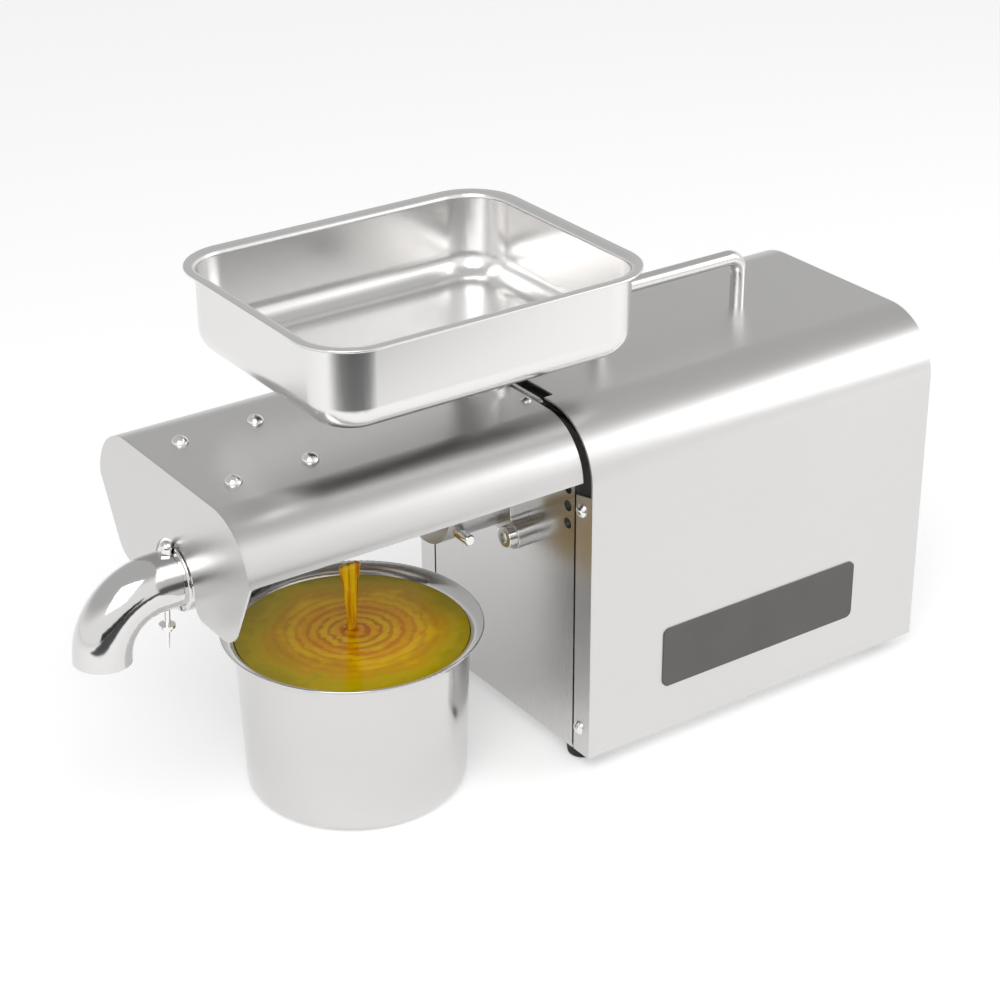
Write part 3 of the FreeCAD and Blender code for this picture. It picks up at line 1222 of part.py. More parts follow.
# ---- write the nodes -------------------------------------------------------------------
def main():
    os.makedirs("parts", exist_ok=True)
    save("outer_shell", make_outer_shell())
    save("front_panel", make_front_panel())
    save("chassis_plate", make_chassis_plate())
    save("base_plate", make_base_plate())
    save("rear_panel", make_rear_panel())
    save("rubber_feet", *[make_foot(x, y) for x, y in foot_points()])
    save("foot_screws", *[round_screw(M4, 8, Vector(x, y, FOOT_WEB), -Z_AXIS) for x, y in foot_points()])
    save("carry_handle", make_carry_handle())
    save("handle_nuts", *[make_handle_nut(x) for x in (HANDLE_FRONT, HANDLE_REAR)])
    save("label_plate", make_label_plate())
    front = [round_screw(M4, 6, p, -X_AXIS) for p in flange_screw_points(0)]
    rear = [round_screw(M4, 6, p, X_AXIS) for p in flange_screw_points(SHELL_LENGTH)]
    save("housing_screws", *(front + rear))

    save("hood_shell", make_hood_shell())
    save("hood_end_plate", make_hood_end_plate())
    save("hood_saddle_bracket", make_hood_saddle())
    save("hood_rear_bracket", make_hood_rear_bracket())
    save("hood_screws", *[round_screw(M5, 7, p, Z_AXIS) for p in hood_screw_points()])
    save("hood_rear_screws", *[round_screw(M3, 5, p, Z_AXIS) for p in hood_rear_points()])

    save("feed_housing", make_feed_housing())
    save("feed_housing_screws", *[make_cap_screw(y, z) for y, z in ear_centres()])
    save("feed_throat", make_feed_throat())
    save("barrel_locking_pin", make_locking_pin())
    save("press_barrel", make_press_barrel())
    save("nozzle_cap", make_nozzle_cap())
    save("press_screw", make_press_screw())
    save("barrel_heater", make_barrel_heater())
    save("heater_thermostat", make_heater_thermostat())
    save("residue_elbow", make_residue_elbow())
    save("elbow_bolt", make_elbow_bolt())
    save("elbow_nut", make_elbow_nut())
    save("feed_tray", make_feed_tray())
    save("oil_pot", make_oil_pot())

    save("gearbox_housing", make_gearbox())
    save("gearbox_output_shaft", make_output_shaft())
    save("output_bearing", make_output_bearing())
    save("motor_housing", make_motor_housing())
    motor_screws = [round_screw(M5, 16, Vector(MOTOR_X + MOTOR_FLANGE, y, z), X_AXIS)
                    for y, z in gearbox_screw_centres()]
    save("motor_screws", *motor_screws)
    save("motor_shaft", make_motor_shaft())
    save("cooling_fan", make_cooling_fan())
    save("motor_cradle", make_motor_cradle())
    save("power_inlet", make_power_inlet())
    save("drive_switch_bezel", make_switch_bezel(DRIVE_SWITCH_Y))
    save("drive_switch_rocker", make_rocker(DRIVE_SWITCH_Y, 0.0))
    save("heater_switch_bezel", make_switch_bezel(HEATER_SWITCH_Y))
    save("heater_switch_rocker", make_rocker(HEATER_SWITCH_Y, ROCKER_TILT))
    save("control_board", make_control_board())
    save("board_components", *make_board_components())
    save("board_bracket", make_board_bracket())


main()
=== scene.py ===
# %% [markdown]
# # A countertop screw oil press
# The machine stands on a worktop: a bent steel housing with a motor inside, a hood over the press
# barrel, a feed tray above, an elbow for the pressed residue and a pot that catches the oil.
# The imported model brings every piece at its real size. This lesson dresses it: first the camera and
# the light, then the finishes, and then the pieces that deserve a smoother surface than a CAD mesh.

# %% Load the frame
import json
import math

import bpy
from mathutils import Matrix, Vector

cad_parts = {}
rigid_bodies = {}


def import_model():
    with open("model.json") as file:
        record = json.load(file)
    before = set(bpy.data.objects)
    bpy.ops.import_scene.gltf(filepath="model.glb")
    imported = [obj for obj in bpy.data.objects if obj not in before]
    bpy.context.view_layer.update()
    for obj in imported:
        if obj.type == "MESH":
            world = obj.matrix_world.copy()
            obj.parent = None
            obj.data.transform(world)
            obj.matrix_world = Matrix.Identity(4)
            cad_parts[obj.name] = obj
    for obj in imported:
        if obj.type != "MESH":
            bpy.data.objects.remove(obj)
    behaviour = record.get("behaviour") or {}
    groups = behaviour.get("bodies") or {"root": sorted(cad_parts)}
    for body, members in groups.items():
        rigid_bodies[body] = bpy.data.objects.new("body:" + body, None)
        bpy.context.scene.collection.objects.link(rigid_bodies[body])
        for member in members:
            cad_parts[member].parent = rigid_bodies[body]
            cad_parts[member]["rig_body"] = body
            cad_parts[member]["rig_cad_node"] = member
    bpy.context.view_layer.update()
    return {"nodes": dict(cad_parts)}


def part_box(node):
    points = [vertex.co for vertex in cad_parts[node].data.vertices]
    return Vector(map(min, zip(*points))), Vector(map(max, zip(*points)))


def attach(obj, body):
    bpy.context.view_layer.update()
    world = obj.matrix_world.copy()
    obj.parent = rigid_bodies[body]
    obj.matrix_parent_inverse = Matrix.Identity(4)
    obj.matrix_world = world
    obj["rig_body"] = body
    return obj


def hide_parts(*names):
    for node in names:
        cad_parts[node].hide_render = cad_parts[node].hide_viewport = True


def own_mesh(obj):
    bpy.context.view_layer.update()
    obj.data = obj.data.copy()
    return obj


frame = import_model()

nodes = frame["nodes"]
MM = 0.001

# %% [markdown]
# ## Camera
# A camera for a product picture stands some way off with a long lens, so that the near and the far
# corners stay in proportion. Its place could be set with a constraint that looks at the object; here
# the turn is built from azimuth, elevation and roll, because those three numbers say what they do.

# %% Camera
AZIMUTH = math.radians(-34.75)
ELEVATION = math.radians(26.97)
ROLL = math.radians(-0.28)
EYE = Vector((-0.6765, -0.9862, 0.7495))
LENS = 85.75


def make_camera():
    data = bpy.data.cameras.new("camera")
    data.lens = LENS
    data.sensor_width = 36
    data.clip_start = 0.01
    data.clip_end = 50
    camera = bpy.data.objects.new("camera", data)
    bpy.context.scene.collection.objects.link(camera)
    turn = Matrix.Rotation(AZIMUTH, 4, "Z") @ Matrix.Rotation(math.pi / 2 - ELEVATION, 4, "X")
    camera.matrix_world = Matrix.Translation(EYE) @ turn @ Matrix.Rotation(ROLL, 4, "Z")
    bpy.context.scene.camera = camera
    return camera


camera = make_camera()
print("camera at", [round(v, 3) for v in camera.matrix_world.translation])

# %% [markdown]
# ## Shader maths in plain expressions
# A pattern is arithmetic on positions. Written as nodes by hand it needs a Math node for each sign,
# so a small class wraps a socket: adding or multiplying two of them adds the node. The other nodes
# all come from one method that takes the node's type, its settings and its inputs.


# %% Helpers for materials
class Value:
    """A socket that can be used in an expression."""

    def __init__(self, finish, socket):
        self.finish = finish
        self.socket = socket

    def math(self, operation, *others, swap=False):
        inputs = [self, *others]
        if swap:
            inputs.reverse()
        return self.finish.node("ShaderNodeMath", {"operation": operation}, dict(enumerate(inputs)))

    def __add__(self, other):
        return self.math("ADD", other)

    def __sub__(self, other):
        return self.math("SUBTRACT", other)

    def __mul__(self, other):
        return self.math("MULTIPLY", other)

    def __pow__(self, other):
        return self.math("POWER", other)

    def __radd__(self, other):
        return self.math("ADD", other, swap=True)

    def __rsub__(self, other):
        return self.math("SUBTRACT", other, swap=True)

    def __rmul__(self, other):
        return self.math("MULTIPLY", other, swap=True)

    def clamp(self):
        return self.math("MAXIMUM", 0).math("MINIMUM", 1)


class Finish:
    """A material under construction."""

    def __init__(self, name, **constants):
        self.material = bpy.data.materials.new(name)
        self.material.use_nodes = True
        self.tree = self.material.node_tree
        self.shader = self.tree.nodes["Principled BSDF"]
        self.set(**constants)

    def set(self, **constants):
        for key, value in constants.items():
            socket = self.shader.inputs[key.replace("_", " ").title().replace("Ior", "IOR")]
            if isinstance(value, Value):
                self.tree.links.new(value.socket, socket)
            else:
                socket.default_value = value

    def node(self, kind, settings=None, inputs=None, output=0):
        made = self.tree.nodes.new(kind)
        for key, value in (settings or {}).items():
            if key == "stops":
                self.fill_ramp(made.color_ramp, value)
            else:
                setattr(made, key, value)
        for key, value in (inputs or {}).items():
            if isinstance(value, Value):
                self.tree.links.new(value.socket, made.inputs[key])
            else:
                made.inputs[key].default_value = value
        return Value(self, made.outputs[output])

    @staticmethod
    def fill_ramp(ramp, stops):
        while len(ramp.elements) < len(stops):
            ramp.elements.new(0.5)
        for element, (position, colour) in zip(ramp.elements, stops):
            element.position = position
            element.color = (*colour, 1)

    def place(self, scale=(1, 1, 1), centre=(0, 0, 0)):
        """Object coordinates, centred on a point and then stretched."""
        here = self.node("ShaderNodeTexCoord", output=3)
        moved = self.node("ShaderNodeVectorMath", {"operation": "SUBTRACT"}, {0: here, 1: centre})
        return self.node("ShaderNodeVectorMath", {"operation": "MULTIPLY"}, {0: moved, 1: scale})

    def split(self, vector):
        """The three numbers of a vector."""
        node = self.tree.nodes.new("ShaderNodeSeparateXYZ")
        self.tree.links.new(vector.socket, node.inputs[0])
        return [Value(self, socket) for socket in node.outputs]

    def noise(self, scale, stretch=(1, 1, 1), detail=3, roughness=0.55):
        """Cloudy pattern from 0 to 1; scale counts features per metre."""
        return self.node("ShaderNodeTexNoise", {}, {
            "Vector": self.place(stretch), "Scale": scale, "Detail": detail, "Roughness": roughness,
        })

    def bump(self, height, depth):
        """Relief of a depth in metres."""
        normal = self.node("ShaderNodeBump", {}, {"Height": height, "Distance": depth, "Strength": 1.0})
        self.set(normal=normal)

    def blend(self, factor, first, second):
        """Mix of two colours."""
        return self.node("ShaderNodeMix", {"data_type": "RGBA"}, {0: factor, 6: first, 7: second},
                         output=2)


print("helpers ready")

# %% [markdown]
# ## Stainless steel, satin
# Satin sheet is made by a belt that leaves fine parallel scratches. They could be an anisotropic
# shader, but the exported model loses a linked one, so the scratches are real relief: noise that is
# stretched along the grain, in both roughness and bump, under a slow cloud of handling marks.


# %% Satin and polished steel
def rgb(value, warm=0.0):
    """A nearly neutral metal colour."""
    return (value * (1 + warm), value, value * (1 - warm), 1)


def satin_steel(name, tone, roughness, grain=(1, 1, 1), relief=1.5e-6, warm=0.012):
    finish = Finish(name, metallic=1.0)
    scratches = finish.noise(1500, grain, 4, 0.7)
    clouds = finish.noise(9, (1, 1, 1), 3)
    mixture = (scratches * 0.55 + clouds * 0.45).clamp()
    colour = finish.blend(mixture, rgb(tone * 0.93, warm), rgb(tone * 1.05, warm))
    finish.set(base_color=colour, roughness=roughness + (scratches - 0.5) * 0.10 + (clouds - 0.5) * 0.06)
    finish.bump(scratches, relief)
    return finish.material


def polished_steel(name, tone, roughness, grain=(1, 1, 1), relief=4e-7, warm=0.01):
    finish = Finish(name, metallic=1.0)
    marks = finish.noise(700, grain, 4, 0.65)
    clouds = finish.noise(14, (1, 1, 1), 4)
    colour = finish.blend(clouds, rgb(tone * 0.97, warm), rgb(tone * 1.03, warm))
    finish.set(base_color=colour, roughness=roughness + (marks - 0.5) * 0.05 + (clouds - 0.5) * 0.04)
    finish.bump(marks, relief)
    return finish.material


ALONG_X = (0.02, 1, 1)
ALONG_Z = (1, 1, 0.03)
shell_steel = satin_steel("shell_steel", 0.66, 0.33, ALONG_X)
hood_steel = satin_steel("hood_steel", 0.67, 0.30, ALONG_X)
plate_steel = satin_steel("plate_steel", 0.64, 0.30, ALONG_Z)
tray_steel = polished_steel("tray_steel", 0.78, 0.24, ALONG_Z)
pot_steel = polished_steel("pot_steel", 0.64, 0.15, ALONG_Z)
elbow_steel = polished_steel("elbow_steel", 0.68, 0.10)
panel_steel = satin_steel("panel_steel", 0.62, 0.26, ALONG_Z)
handle_steel = polished_steel("handle_steel", 0.68, 0.18, ALONG_X)
turned_steel = satin_steel("turned_steel", 0.62, 0.30, (1, 0.1, 0.1))
screw_steel = polished_steel("screw_steel", 0.82, 0.16)
worm_steel = satin_steel("worm_steel", 0.45, 0.30, (0.1, 1, 1))
zinc_steel = satin_steel("zinc_steel", 0.58, 0.42, (1, 1, 1))
cast_alloy = satin_steel("cast_alloy", 0.52, 0.55, (0.2, 0.2, 0.2), 2e-5)
print("steels ready")

# %% [markdown]
# ## Paint, rubber and plastics
# The chassis is powder coated, and the feet, switches and plug inlet are moulded. Such surfaces are
# not smooth: a fine grain breaks up the gloss. A flat colour with a low roughness would be quicker,
# but it looks like wet plastic, so each finish gets grain in its relief and dust in its colour.


# %% Paint, rubber and plastics
def moulded(name, colour, roughness, grain_scale=1200, relief=6e-6):
    finish = Finish(name, metallic=0.0)
    grain = finish.noise(grain_scale, (1, 1, 1), 3)
    dust = finish.noise(25, (1, 1, 1), 4)
    dark = (*[c * 0.85 for c in colour], 1)
    light = (*[min(1, c * 1.25 + 0.004) for c in colour], 1)
    finish.set(base_color=finish.blend(dust, dark, light), roughness=roughness + (grain - 0.5) * 0.15)
    finish.bump(grain, relief)
    return finish.material


black_paint = moulded("black_paint", (0.012, 0.012, 0.013), 0.45)
foot_rubber = moulded("foot_rubber", (0.015, 0.015, 0.016), 0.75, 900, 2e-5)
black_plastic = moulded("black_plastic", (0.018, 0.018, 0.019), 0.42, 1500, 5e-6)
rocker_plastic = moulded("rocker_plastic", (0.02, 0.02, 0.021), 0.22, 2500, 1e-6)
board_green = moulded("board_green", (0.02, 0.09, 0.035), 0.4)
component_blue = moulded("component_blue", (0.02, 0.05, 0.16), 0.35)
label_grey = moulded("label_grey", (0.095, 0.09, 0.085), 0.42, 1800, 2e-6)
print("paints ready")

# %% [markdown]
# ## Giving each node its finish
# Each CAD node keeps its mesh and gets one material in its slot. A table from node to finish is
# easier to read and to change than a long run of assignments.

# %% Finishes
FINISHES = {
    "outer_shell": shell_steel, "rear_panel": plate_steel, "hood_shell": hood_steel,
    "hood_end_plate": plate_steel, "front_panel": panel_steel, "chassis_plate": black_paint,
    "base_plate": zinc_steel, "rubber_feet": foot_rubber, "foot_screws": screw_steel,
    "carry_handle": handle_steel, "handle_nuts": screw_steel, "label_plate": label_grey,
    "housing_screws": screw_steel, "hood_saddle_bracket": zinc_steel,
    "hood_rear_bracket": panel_steel, "hood_screws": screw_steel, "hood_rear_screws": screw_steel,
    "feed_housing": turned_steel, "feed_housing_screws": screw_steel, "feed_throat": turned_steel,
    "barrel_locking_pin": screw_steel, "press_barrel": turned_steel, "nozzle_cap": elbow_steel,
    "press_screw": worm_steel, "barrel_heater": cast_alloy, "heater_thermostat": black_plastic,
    "residue_elbow": elbow_steel, "elbow_bolt": screw_steel, "elbow_nut": screw_steel,
    "feed_tray": tray_steel, "oil_pot": pot_steel, "gearbox_housing": cast_alloy,
    "gearbox_output_shaft": worm_steel, "output_bearing": worm_steel, "motor_housing": black_paint,
    "motor_screws": screw_steel, "motor_shaft": worm_steel, "cooling_fan": black_plastic,
    "motor_cradle": zinc_steel, "power_inlet": black_plastic, "drive_switch_bezel": black_plastic,
    "drive_switch_rocker": rocker_plastic, "heater_switch_bezel": black_plastic,
    "heater_switch_rocker": rocker_plastic, "control_board": board_green,
    "board_components": component_blue, "board_bracket": zinc_steel,
}
for name, material in FINISHES.items():
    slots = nodes[name].data.materials
    slots.clear()
    slots.append(material)
print("finished nodes:", len(FINISHES), "bare:", sorted(set(nodes) - set(FINISHES)))

# %% [markdown]
# ## Smooth copies of curved pieces
# A CAD node is a cloud of loose triangles, so light breaks at each facet. A copy whose doubled
# corners are merged can be shaded smooth, and weighted normals keep its flat faces flat.


# %% Tools for editing meshes
def deselect():
    for thing in bpy.context.selected_objects:
        thing.select_set(False)


def activate(*things):
    deselect()
    for thing in things:
        thing.select_set(True)
    bpy.context.view_layer.objects.active = things[0]


def apply_modifier(piece, kind, **settings):
    activate(piece)
    bpy.ops.object.modifier_add(type=kind)
    modifier = piece.modifiers[-1]
    for key, value in settings.items():
        setattr(modifier, key, value)
    bpy.ops.object.modifier_apply(modifier=modifier.name)


def settle(piece):
    """Move the object's place and turn into its mesh."""
    activate(piece)
    bpy.ops.object.transform_apply(location=True, rotation=True, scale=True)


def soften(piece, angle=32):
    activate(piece)
    if piece.data.has_custom_normals:
        bpy.ops.mesh.customdata_custom_splitnormals_clear()
    bpy.ops.object.shade_smooth_by_angle(angle=math.radians(angle))
    apply_modifier(piece, "WEIGHTED_NORMAL", keep_sharp=True)


def merged_copy(node):
    """A copy of a node's mesh with its doubled corners merged."""
    source = nodes[node]
    piece = source.copy()
    piece.data = source.data.copy()
    piece.name = node + ".smooth"
    piece.parent = None
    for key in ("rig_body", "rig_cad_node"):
        if key in piece:
            del piece[key]
    bpy.context.scene.collection.objects.link(piece)
    activate(piece)
    bpy.ops.object.mode_set(mode="EDIT")
    bpy.ops.mesh.select_all(action="SELECT")
    bpy.ops.mesh.remove_doubles(threshold=2e-6)
    bpy.ops.object.mode_set(mode="OBJECT")
    return piece


def stand_for(piece, node):
    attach(piece, nodes[node]["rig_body"])
    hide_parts(node)


def smooth_copy(node):
    piece = merged_copy(node)
    soften(piece)
    stand_for(piece, node)
    return piece


# %% Smooth copies
CURVED = [
    "outer_shell", "hood_shell", "carry_handle", "rubber_feet", "feed_housing",
    "feed_housing_screws", "feed_throat", "barrel_locking_pin", "press_barrel", "nozzle_cap",
    "press_screw", "residue_elbow", "elbow_bolt", "elbow_nut", "feed_tray", "oil_pot",
    "hood_end_plate", "motor_housing", "gearbox_housing", "cooling_fan",
]
for name in CURVED:
    smooth_copy(name)
print("smooth copies:", len(CURVED))

# %% [markdown]
# ## Cross recesses
# The round screws are turned by a cross driver. A recess could be a bump, but it is deep enough to
# show in the outline of the head, so a tapered cross is cut from each head with a Boolean.

# %% Cross recesses
CROSS_ARM = 0.9 * MM
CROSS_REACH = 1.25 * MM
CROSS_DEPTH = 1.5 * MM
OUTWARD = {
    "hood_screws": lambda middle: Vector((0, 0, 1)),
    "hood_rear_screws": lambda middle: Vector((0, 0, 1)),
    "housing_screws": lambda middle: Vector((math.copysign(1, middle.x), 0, 0)),
}


def pick(piece, wanted):
    """Select the faces whose centre and normal pass a test, in edit mode."""
    bpy.ops.object.mode_set(mode="EDIT")
    bpy.ops.mesh.select_mode(type="FACE")
    bpy.ops.mesh.select_all(action="DESELECT")
    bpy.ops.object.mode_set(mode="OBJECT")
    for face in piece.data.polygons:
        face.select = wanted(face.center, face.normal)
    bpy.ops.object.mode_set(mode="EDIT")


def make_cross_cutter():
    """A tapered cross that points down, with its top just above the origin."""
    bpy.ops.mesh.primitive_cube_add(size=1)
    cutter = bpy.context.object
    cutter.name = "cross_cutter"
    cutter.scale = (CROSS_ARM, CROSS_ARM, 2 * CROSS_DEPTH)
    settle(cutter)
    pick(cutter, lambda centre, normal: abs(normal.z) < 0.5)
    bpy.ops.mesh.extrude_faces_move(TRANSFORM_OT_shrink_fatten={"value": CROSS_REACH})
    pick(cutter, lambda centre, normal: normal.z < -0.5)
    bpy.ops.transform.resize(value=(0.45, 0.45, 1), center_override=(0, 0, -CROSS_DEPTH))
    bpy.ops.mesh.select_all(action="SELECT")
    bpy.ops.mesh.normals_make_consistent(inside=False)
    bpy.ops.object.mode_set(mode="OBJECT")
    return cutter


def corners(piece):
    points = [vertex.co for vertex in piece.data.vertices]
    low = Vector([min(point[axis] for point in points) for axis in range(3)])
    high = Vector([max(point[axis] for point in points) for axis in range(3)])
    return low, high


def cut_crosses(node, cutter):
    piece = merged_copy(node)
    bpy.ops.object.mode_set(mode="EDIT")
    bpy.ops.mesh.select_all(action="SELECT")
    bpy.ops.mesh.separate(type="LOOSE")
    bpy.ops.object.mode_set(mode="OBJECT")
    screws = list(bpy.context.selected_objects)
    for index, screw in enumerate(sorted(screws, key=lambda screw: tuple(corners(screw)[0]))):
        low, high = corners(screw)
        middle = (low + high) / 2
        outward = OUTWARD[node](middle)
        top = middle + outward * abs((high - low).dot(outward)) / 2
        tool = cutter.copy()
        tool.data = cutter.data.copy()
        bpy.context.scene.collection.objects.link(tool)
        turn = outward.to_track_quat("Z", "Y") @ Vector((0, 0, 1)).to_track_quat("Z", "Y")
        spin = Matrix.Rotation(math.radians(25 + 50 * index), 4, "Z")
        tool.matrix_world = Matrix.Translation(top) @ turn.to_matrix().to_4x4() @ spin
        settle(tool)
        apply_modifier(screw, "BOOLEAN", operation="DIFFERENCE", solver="EXACT", object=tool)
        bpy.data.objects.remove(tool)
    activate(piece, *[screw for screw in screws if screw is not piece])
    bpy.ops.object.join()
    soften(piece)
    stand_for(piece, node)
    return len(screws)


cutter = make_cross_cutter()
for name in OUTWARD:
    print(name, "recesses cut:", cut_crosses(name, cutter))
bpy.data.objects.remove(cutter)

# %% [markdown]
# ## Fresh oil
# The pot is nearly full of golden oil. Oil is cloudy when it is fresh, so it is painted as a glossy
# body with streaks instead of clear glass: bands that are bent by noise run round the place where
# the stream lands, yellow in the middle of the pot, olive where it is deep at the wall.


# %% Oil colours
WIDE_BAND = 21 * MM
FINE_BAND = 6.2 * MM


def ring_bands(finish, centre, pitch, bend, clouds):
    """Bands round a point of the surface, from 0 to 1, bent by clouds."""
    x, y, _ = finish.split(finish.place((1, 1, 1), centre))
    radius = (x * x + y * y) ** 0.5
    phase = radius * (2 * math.pi / pitch) + (clouds - 0.5) * bend
    return radius, phase.math("SINE") * 0.5 + 0.5


def oil_finish(name, centre):
    finish = Finish(name, metallic=0.0, roughness=0.16, ior=1.25)
    clouds = finish.noise(38, (1, 1, 1), 4, 0.6)
    threads = finish.noise(150, (0.35, 1.6, 1), 5, 0.7)
    radius, wide = ring_bands(finish, centre, WIDE_BAND, 16, clouds)
    _, fine = ring_bands(finish, centre, FINE_BAND, 9, threads)
    drift = (wide * 0.6 + clouds * 0.6 - 0.1).clamp()
    gold = finish.blend(drift, (1.0, 0.66, 0.0, 1), (0.90, 0.36, 0.0, 1))
    near = (1.15 - radius * 22).clamp()
    streak = ((fine * 0.75 + threads * 0.75 - 0.72) * 3.0).clamp() * (near * 0.75 + 0.12)
    gold = finish.blend(streak, gold, (0.62, 0.17, 0.0, 1))
    deep = ((radius - 0.034) * 34 + (clouds - 0.5) * 1.3).clamp()
    finish.set(base_color=finish.blend(deep * 0.85, gold, (0.36, 0.32, 0.0, 1)))
    return finish.material


def stream_finish(name):
    finish = Finish(name, metallic=0.0, roughness=0.06, ior=1.35)
    strands = finish.noise(420, (1, 1, 0.06), 3, 0.6)
    # Painted highlights: where this noise is high the stream turns pale yellow, as if it caught the
    # light.
    painted_glints = finish.noise(190, (1, 1, 0.8), 3)
    gold = finish.blend(((strands - 0.42) * 6).clamp(), (0.62, 0.19, 0.0, 1), (1.0, 0.66, 0.01, 1))
    finish.set(base_color=finish.blend(((painted_glints - 0.6) * 6).clamp(), gold, (0.98, 0.80, 0.22, 1)))
    finish.bump(strands, 4e-4)
    return finish.material


# %% The oil in the pot
pot_low, pot_high = [Vector(corner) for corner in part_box("oil_pot")]
pot_middle = (pot_low + pot_high) / 2
BELOW_RIM = 5.26 * MM
OIL_LEVEL = pot_high.z - BELOW_RIM
OIL_NECK = OIL_LEVEL - 5 * MM
OIL_FLOOR = 2.4 * MM
OIL_RADIUS = 63.5 * MM
OIL_BRIM = 64.8 * MM
OIL_CORNER = 10 * MM
OIL_FOOT = 57 * MM
OIL_RINGS = 62
LANDING = Vector((pot_middle.x + 2.1 * MM, pot_middle.y - 0.1 * MM, OIL_LEVEL))
print("pot", pot_low, pot_high, "middle", pot_middle)


def make_oil_pool():
    depth = OIL_NECK - OIL_FLOOR
    middle = (pot_middle.x, pot_middle.y, OIL_FLOOR + depth / 2)
    bpy.ops.mesh.primitive_cylinder_add(vertices=160, radius=OIL_RADIUS, depth=depth, location=middle)
    pool = bpy.context.object
    pool.name = "oil_pool"
    settle(pool)
    pick(pool, lambda centre, normal: normal.z < -0.9)
    narrow = OIL_FOOT / OIL_RADIUS
    foot = (pot_middle.x, pot_middle.y, OIL_FLOOR)
    bpy.ops.transform.resize(value=(narrow, narrow, 1), center_override=foot)
    bpy.ops.mesh.bevel(offset=OIL_CORNER, segments=6, affect="EDGES")
    pick(pool, lambda centre, normal: normal.z > 0.9)
    step = (0, 0, OIL_LEVEL - OIL_NECK)
    bpy.ops.mesh.extrude_region_move(TRANSFORM_OT_translate={"value": step})
    grow = OIL_BRIM / OIL_RADIUS
    surface = (pot_middle.x, pot_middle.y, OIL_LEVEL)
    bpy.ops.transform.resize(value=(grow, grow, 1), center_override=surface)
    for ring in range(OIL_RINGS):
        bpy.ops.mesh.inset(thickness=OIL_BRIM / (OIL_RINGS + 1))
    bpy.ops.mesh.poke()
    bpy.ops.object.mode_set(mode="OBJECT")
    apply_modifier(
        pool, "WAVE", use_cyclic=True, start_position_x=LANDING.x, start_position_y=LANDING.y,
        width=2.6 * MM, narrowness=100, height=3.2 * MM, falloff_radius=48 * MM, time_offset=-3,
        speed=1 * MM,
    )
    pool.data.materials.append(oil_finish("fresh_oil", LANDING))
    soften(pool, 40)
    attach(pool, "pot")
    return pool

# %% [markdown]
# ## The falling stream
# Oil runs from the slots of the barrel in a flat sheet that draws itself into a round rope as it
# falls. A curve with a bevel would stay round all along, so a disc is extruded downwards ring by
# ring, each ring resized, and a subdivision surface rounds it off. It hangs from the machine.


# %% The falling stream
barrel_low, barrel_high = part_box("press_barrel")
STREAM_TOP = barrel_low[2] - 3.1 * MM
STREAM_WIDTH, STREAM_THICKNESS = 7.4, 2.4
STREAM = [
    (129, 6.6, 2.2), (124, 5.6, 2.0), (118, 4.7, 1.9), (107, 3.7, 1.9), (99, 3.0, 2.0),
    (95, 2.8, 2.2), (92.6, 3.2, 2.8), (91.0, 5.2, 4.6),
]
STREAM_LEAN = Vector((-0.8 * MM, 2.4 * MM, 0))


def make_stream():
    top = LANDING + STREAM_LEAN
    bpy.ops.mesh.primitive_circle_add(vertices=24, radius=1, fill_type="NGON")
    stream = bpy.context.object
    stream.name = "oil_stream"
    stream.scale = (STREAM_WIDTH * MM, STREAM_THICKNESS * MM, 1)
    stream.location = (top.x, top.y, STREAM_TOP)
    settle(stream)
    bpy.ops.object.mode_set(mode="EDIT")
    bpy.ops.mesh.select_all(action="SELECT")
    level, across, deep = STREAM_TOP, STREAM_WIDTH, STREAM_THICKNESS
    for height, wide, thick in STREAM:
        share = (STREAM_TOP - height * MM) / (STREAM_TOP - OIL_LEVEL)
        middle = LANDING + STREAM_LEAN * (1 - min(1, share))
        step = (0, 0, height * MM - level)
        bpy.ops.mesh.extrude_region_move(TRANSFORM_OT_translate={"value": step})
        place = (middle.x, middle.y, height * MM)
        bpy.ops.transform.resize(value=(wide / across, thick / deep, 1), center_override=place)
        level, across, deep = height * MM, wide, thick
    bpy.ops.mesh.select_all(action="SELECT")
    bpy.ops.mesh.normals_make_consistent(inside=False)
    bpy.ops.object.mode_set(mode="OBJECT")
    apply_modifier(stream, "SUBSURF", levels=2, render_levels=2)
    stream.data.materials.append(stream_finish("oil_stream"))
    soften(stream, 60)
    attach(stream, "machine")
    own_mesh(stream)
    return stream


pool = make_oil_pool()
stream = make_stream()
print("oil", len(pool.data.polygons), "stream", len(stream.data.polygons))

# %% [markdown]
# ## Floor and light
# The floor and the world are white to the camera and to reflections, and stay plain for the light
# that falls on the object. Steel shows what is round it: a pale room, a greyer ceiling and, in
# front, the dark edge of the worktop, which is a card that only reflections can see.


# %% Floor, world and lamps
FLOOR_GLOW = 0.32
WORLD_LIGHT = 0.55
CEILING = 0.55
CARD_TONE = 0.05
AIM = (0, 0, 0.12)


def seen_directly(tree):
    """1 for camera, glossy and transmission rays, 0 for the rays that light things."""
    path = tree.nodes.new("ShaderNodeLightPath")
    total = path.outputs["Is Camera Ray"]
    for name in ("Is Glossy Ray", "Is Transmission Ray"):
        highest = tree.nodes.new("ShaderNodeMath")
        highest.operation = "MAXIMUM"
        tree.links.new(total, highest.inputs[0])
        tree.links.new(path.outputs[name], highest.inputs[1])
        total = highest.outputs[0]
    return path, total


def mix(tree, factor, first, second):
    """The first value where the factor is 0, the second where it is 1."""
    blend = tree.nodes.new("ShaderNodeMix")
    tree.links.new(factor, blend.inputs["Factor"])
    for key, value in (("A", first), ("B", second)):
        if isinstance(value, float):
            blend.inputs[key].default_value = value
        else:
            tree.links.new(value, blend.inputs[key])
    return blend.outputs["Result"]


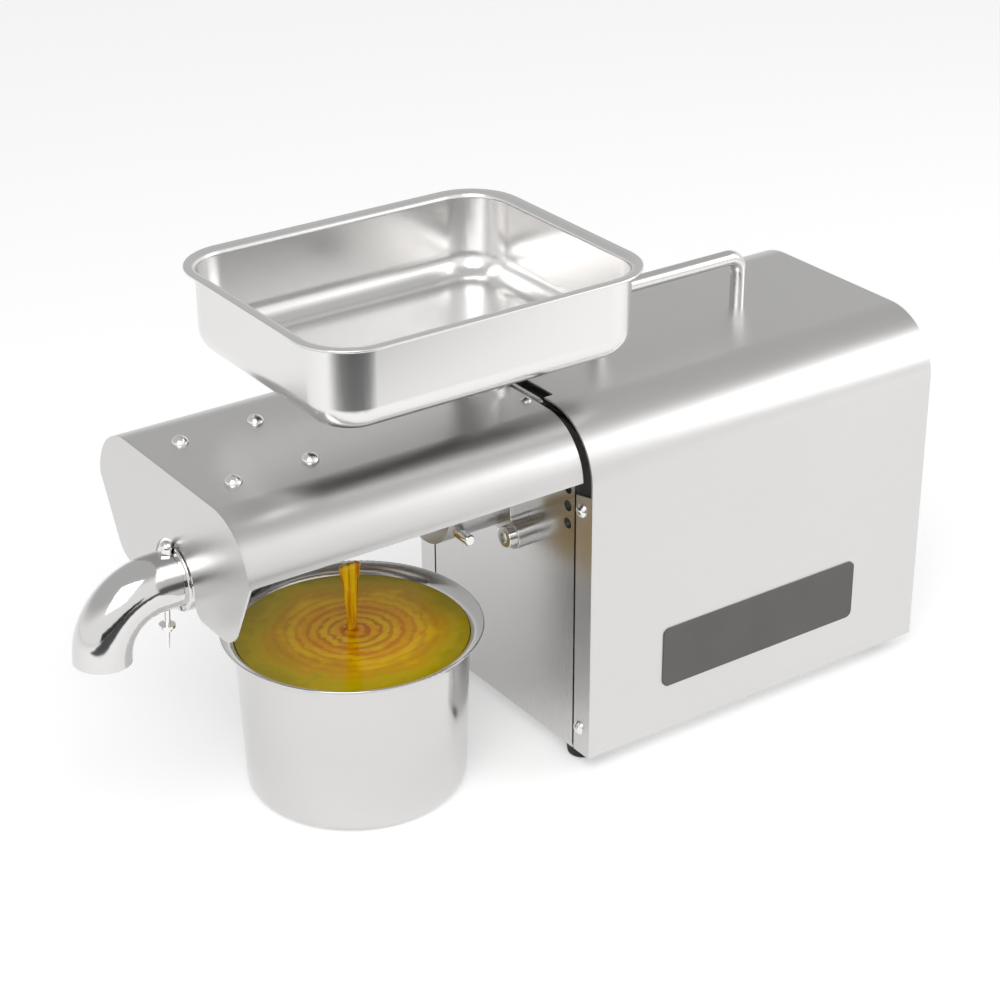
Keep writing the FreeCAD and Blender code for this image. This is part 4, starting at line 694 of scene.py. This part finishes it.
def make_floor():
    bpy.ops.mesh.primitive_plane_add(size=8, location=(0, 0, -0.0003))
    floor = bpy.context.object
    floor.name = "floor"
    finish = Finish("floor_white", base_color=(0.93, 0.93, 0.93, 1), roughness=0.9)
    finish.set(emission_color=(1, 1, 1, 1))
    path, seen = seen_directly(finish.tree)
    glow = finish.tree.nodes.new("ShaderNodeMath")
    glow.operation = "MULTIPLY"
    glow.inputs[1].default_value = FLOOR_GLOW
    finish.tree.links.new(seen, glow.inputs[0])
    finish.tree.links.new(glow.outputs[0], finish.shader.inputs["Emission Strength"])
    floor.data.materials.append(finish.material)
    return floor


def make_world():
    """White, with a greyer ceiling for glossy rays, and an even light for all others."""
    world = bpy.data.worlds.new("world")
    world.use_nodes = True
    bpy.context.scene.world = world
    tree = world.node_tree
    path, seen = seen_directly(tree)
    way = tree.nodes.new("ShaderNodeTexCoord")
    split = tree.nodes.new("ShaderNodeSeparateXYZ")
    tree.links.new(way.outputs["Generated"], split.inputs[0])
    lean = tree.nodes.new("ShaderNodeMath")
    lean.operation = "MULTIPLY_ADD"
    lean.inputs[1].default_value = 0.45
    tree.links.new(split.outputs["Y"], lean.inputs[0])
    tree.links.new(split.outputs["Z"], lean.inputs[2])
    ceiling = tree.nodes.new("ShaderNodeMapRange")
    ceiling.interpolation_type = "SMOOTHSTEP"
    for key, value in {"From Min": 0.30, "From Max": 0.72, "To Min": 1.0, "To Max": CEILING}.items():
        ceiling.inputs[key].default_value = value
    tree.links.new(lean.outputs[0], ceiling.inputs["Value"])
    shown = mix(tree, path.outputs["Is Camera Ray"], ceiling.outputs[0], 1.0)
    strength = mix(tree, seen, WORLD_LIGHT, shown)
    background = tree.nodes["Background"]
    background.inputs["Color"].default_value = (1, 1, 1, 1)
    tree.links.new(strength, background.inputs["Strength"])
    return world


def make_card(name, place, size, turn, tone):
    """A flat card that only reflections can see."""
    bpy.ops.mesh.primitive_plane_add(size=1, location=place, rotation=turn)
    card = bpy.context.object
    card.name = name
    card.scale = (*size, 1)
    settle(card)
    finish = Finish(name, base_color=(tone, tone, tone, 1), roughness=1.0)
    card.data.materials.append(finish.material)
    card.visible_camera = card.visible_diffuse = card.visible_shadow = False
    card.visible_transmission = False
    return card


def make_lamp(name, place, aim, size, power):
    data = bpy.data.lights.new(name, "AREA")
    data.shape = "RECTANGLE"
    data.size, data.size_y = size
    data.energy = power
    lamp = bpy.data.objects.new(name, data)
    bpy.context.scene.collection.objects.link(lamp)
    lamp.location = place
    lamp.rotation_mode = "QUATERNION"
    lamp.rotation_quaternion = (Vector(aim) - Vector(place)).to_track_quat("-Z", "Y")
    return lamp


EDGE_TURN = math.radians(-22)
EDGE_WAY = Vector((math.sin(EDGE_TURN), -math.cos(EDGE_TURN), 0))
make_floor()
make_world()
edge_place = EDGE_WAY * 1.45 + Vector((-0.05, 0, 0.002))
room_place = EDGE_WAY * 2.6 + Vector((0, 0, 0.15))
make_card("worktop_edge", edge_place, (1.5, 1.9), (0, 0, EDGE_TURN), CARD_TONE)
make_card("room_front", room_place, (2.6, 0.5), (math.pi / 2, 0, EDGE_TURN), CARD_TONE)
make_lamp("key", (-0.9, -0.9, 1.5), AIM, (1.2, 1.2), 13)
make_lamp("fill", (1.4, -1.0, 0.9), AIM, (1.0, 1.0), 6)
bpy.context.scene.view_settings.view_transform = "Standard"
print("stage ready")
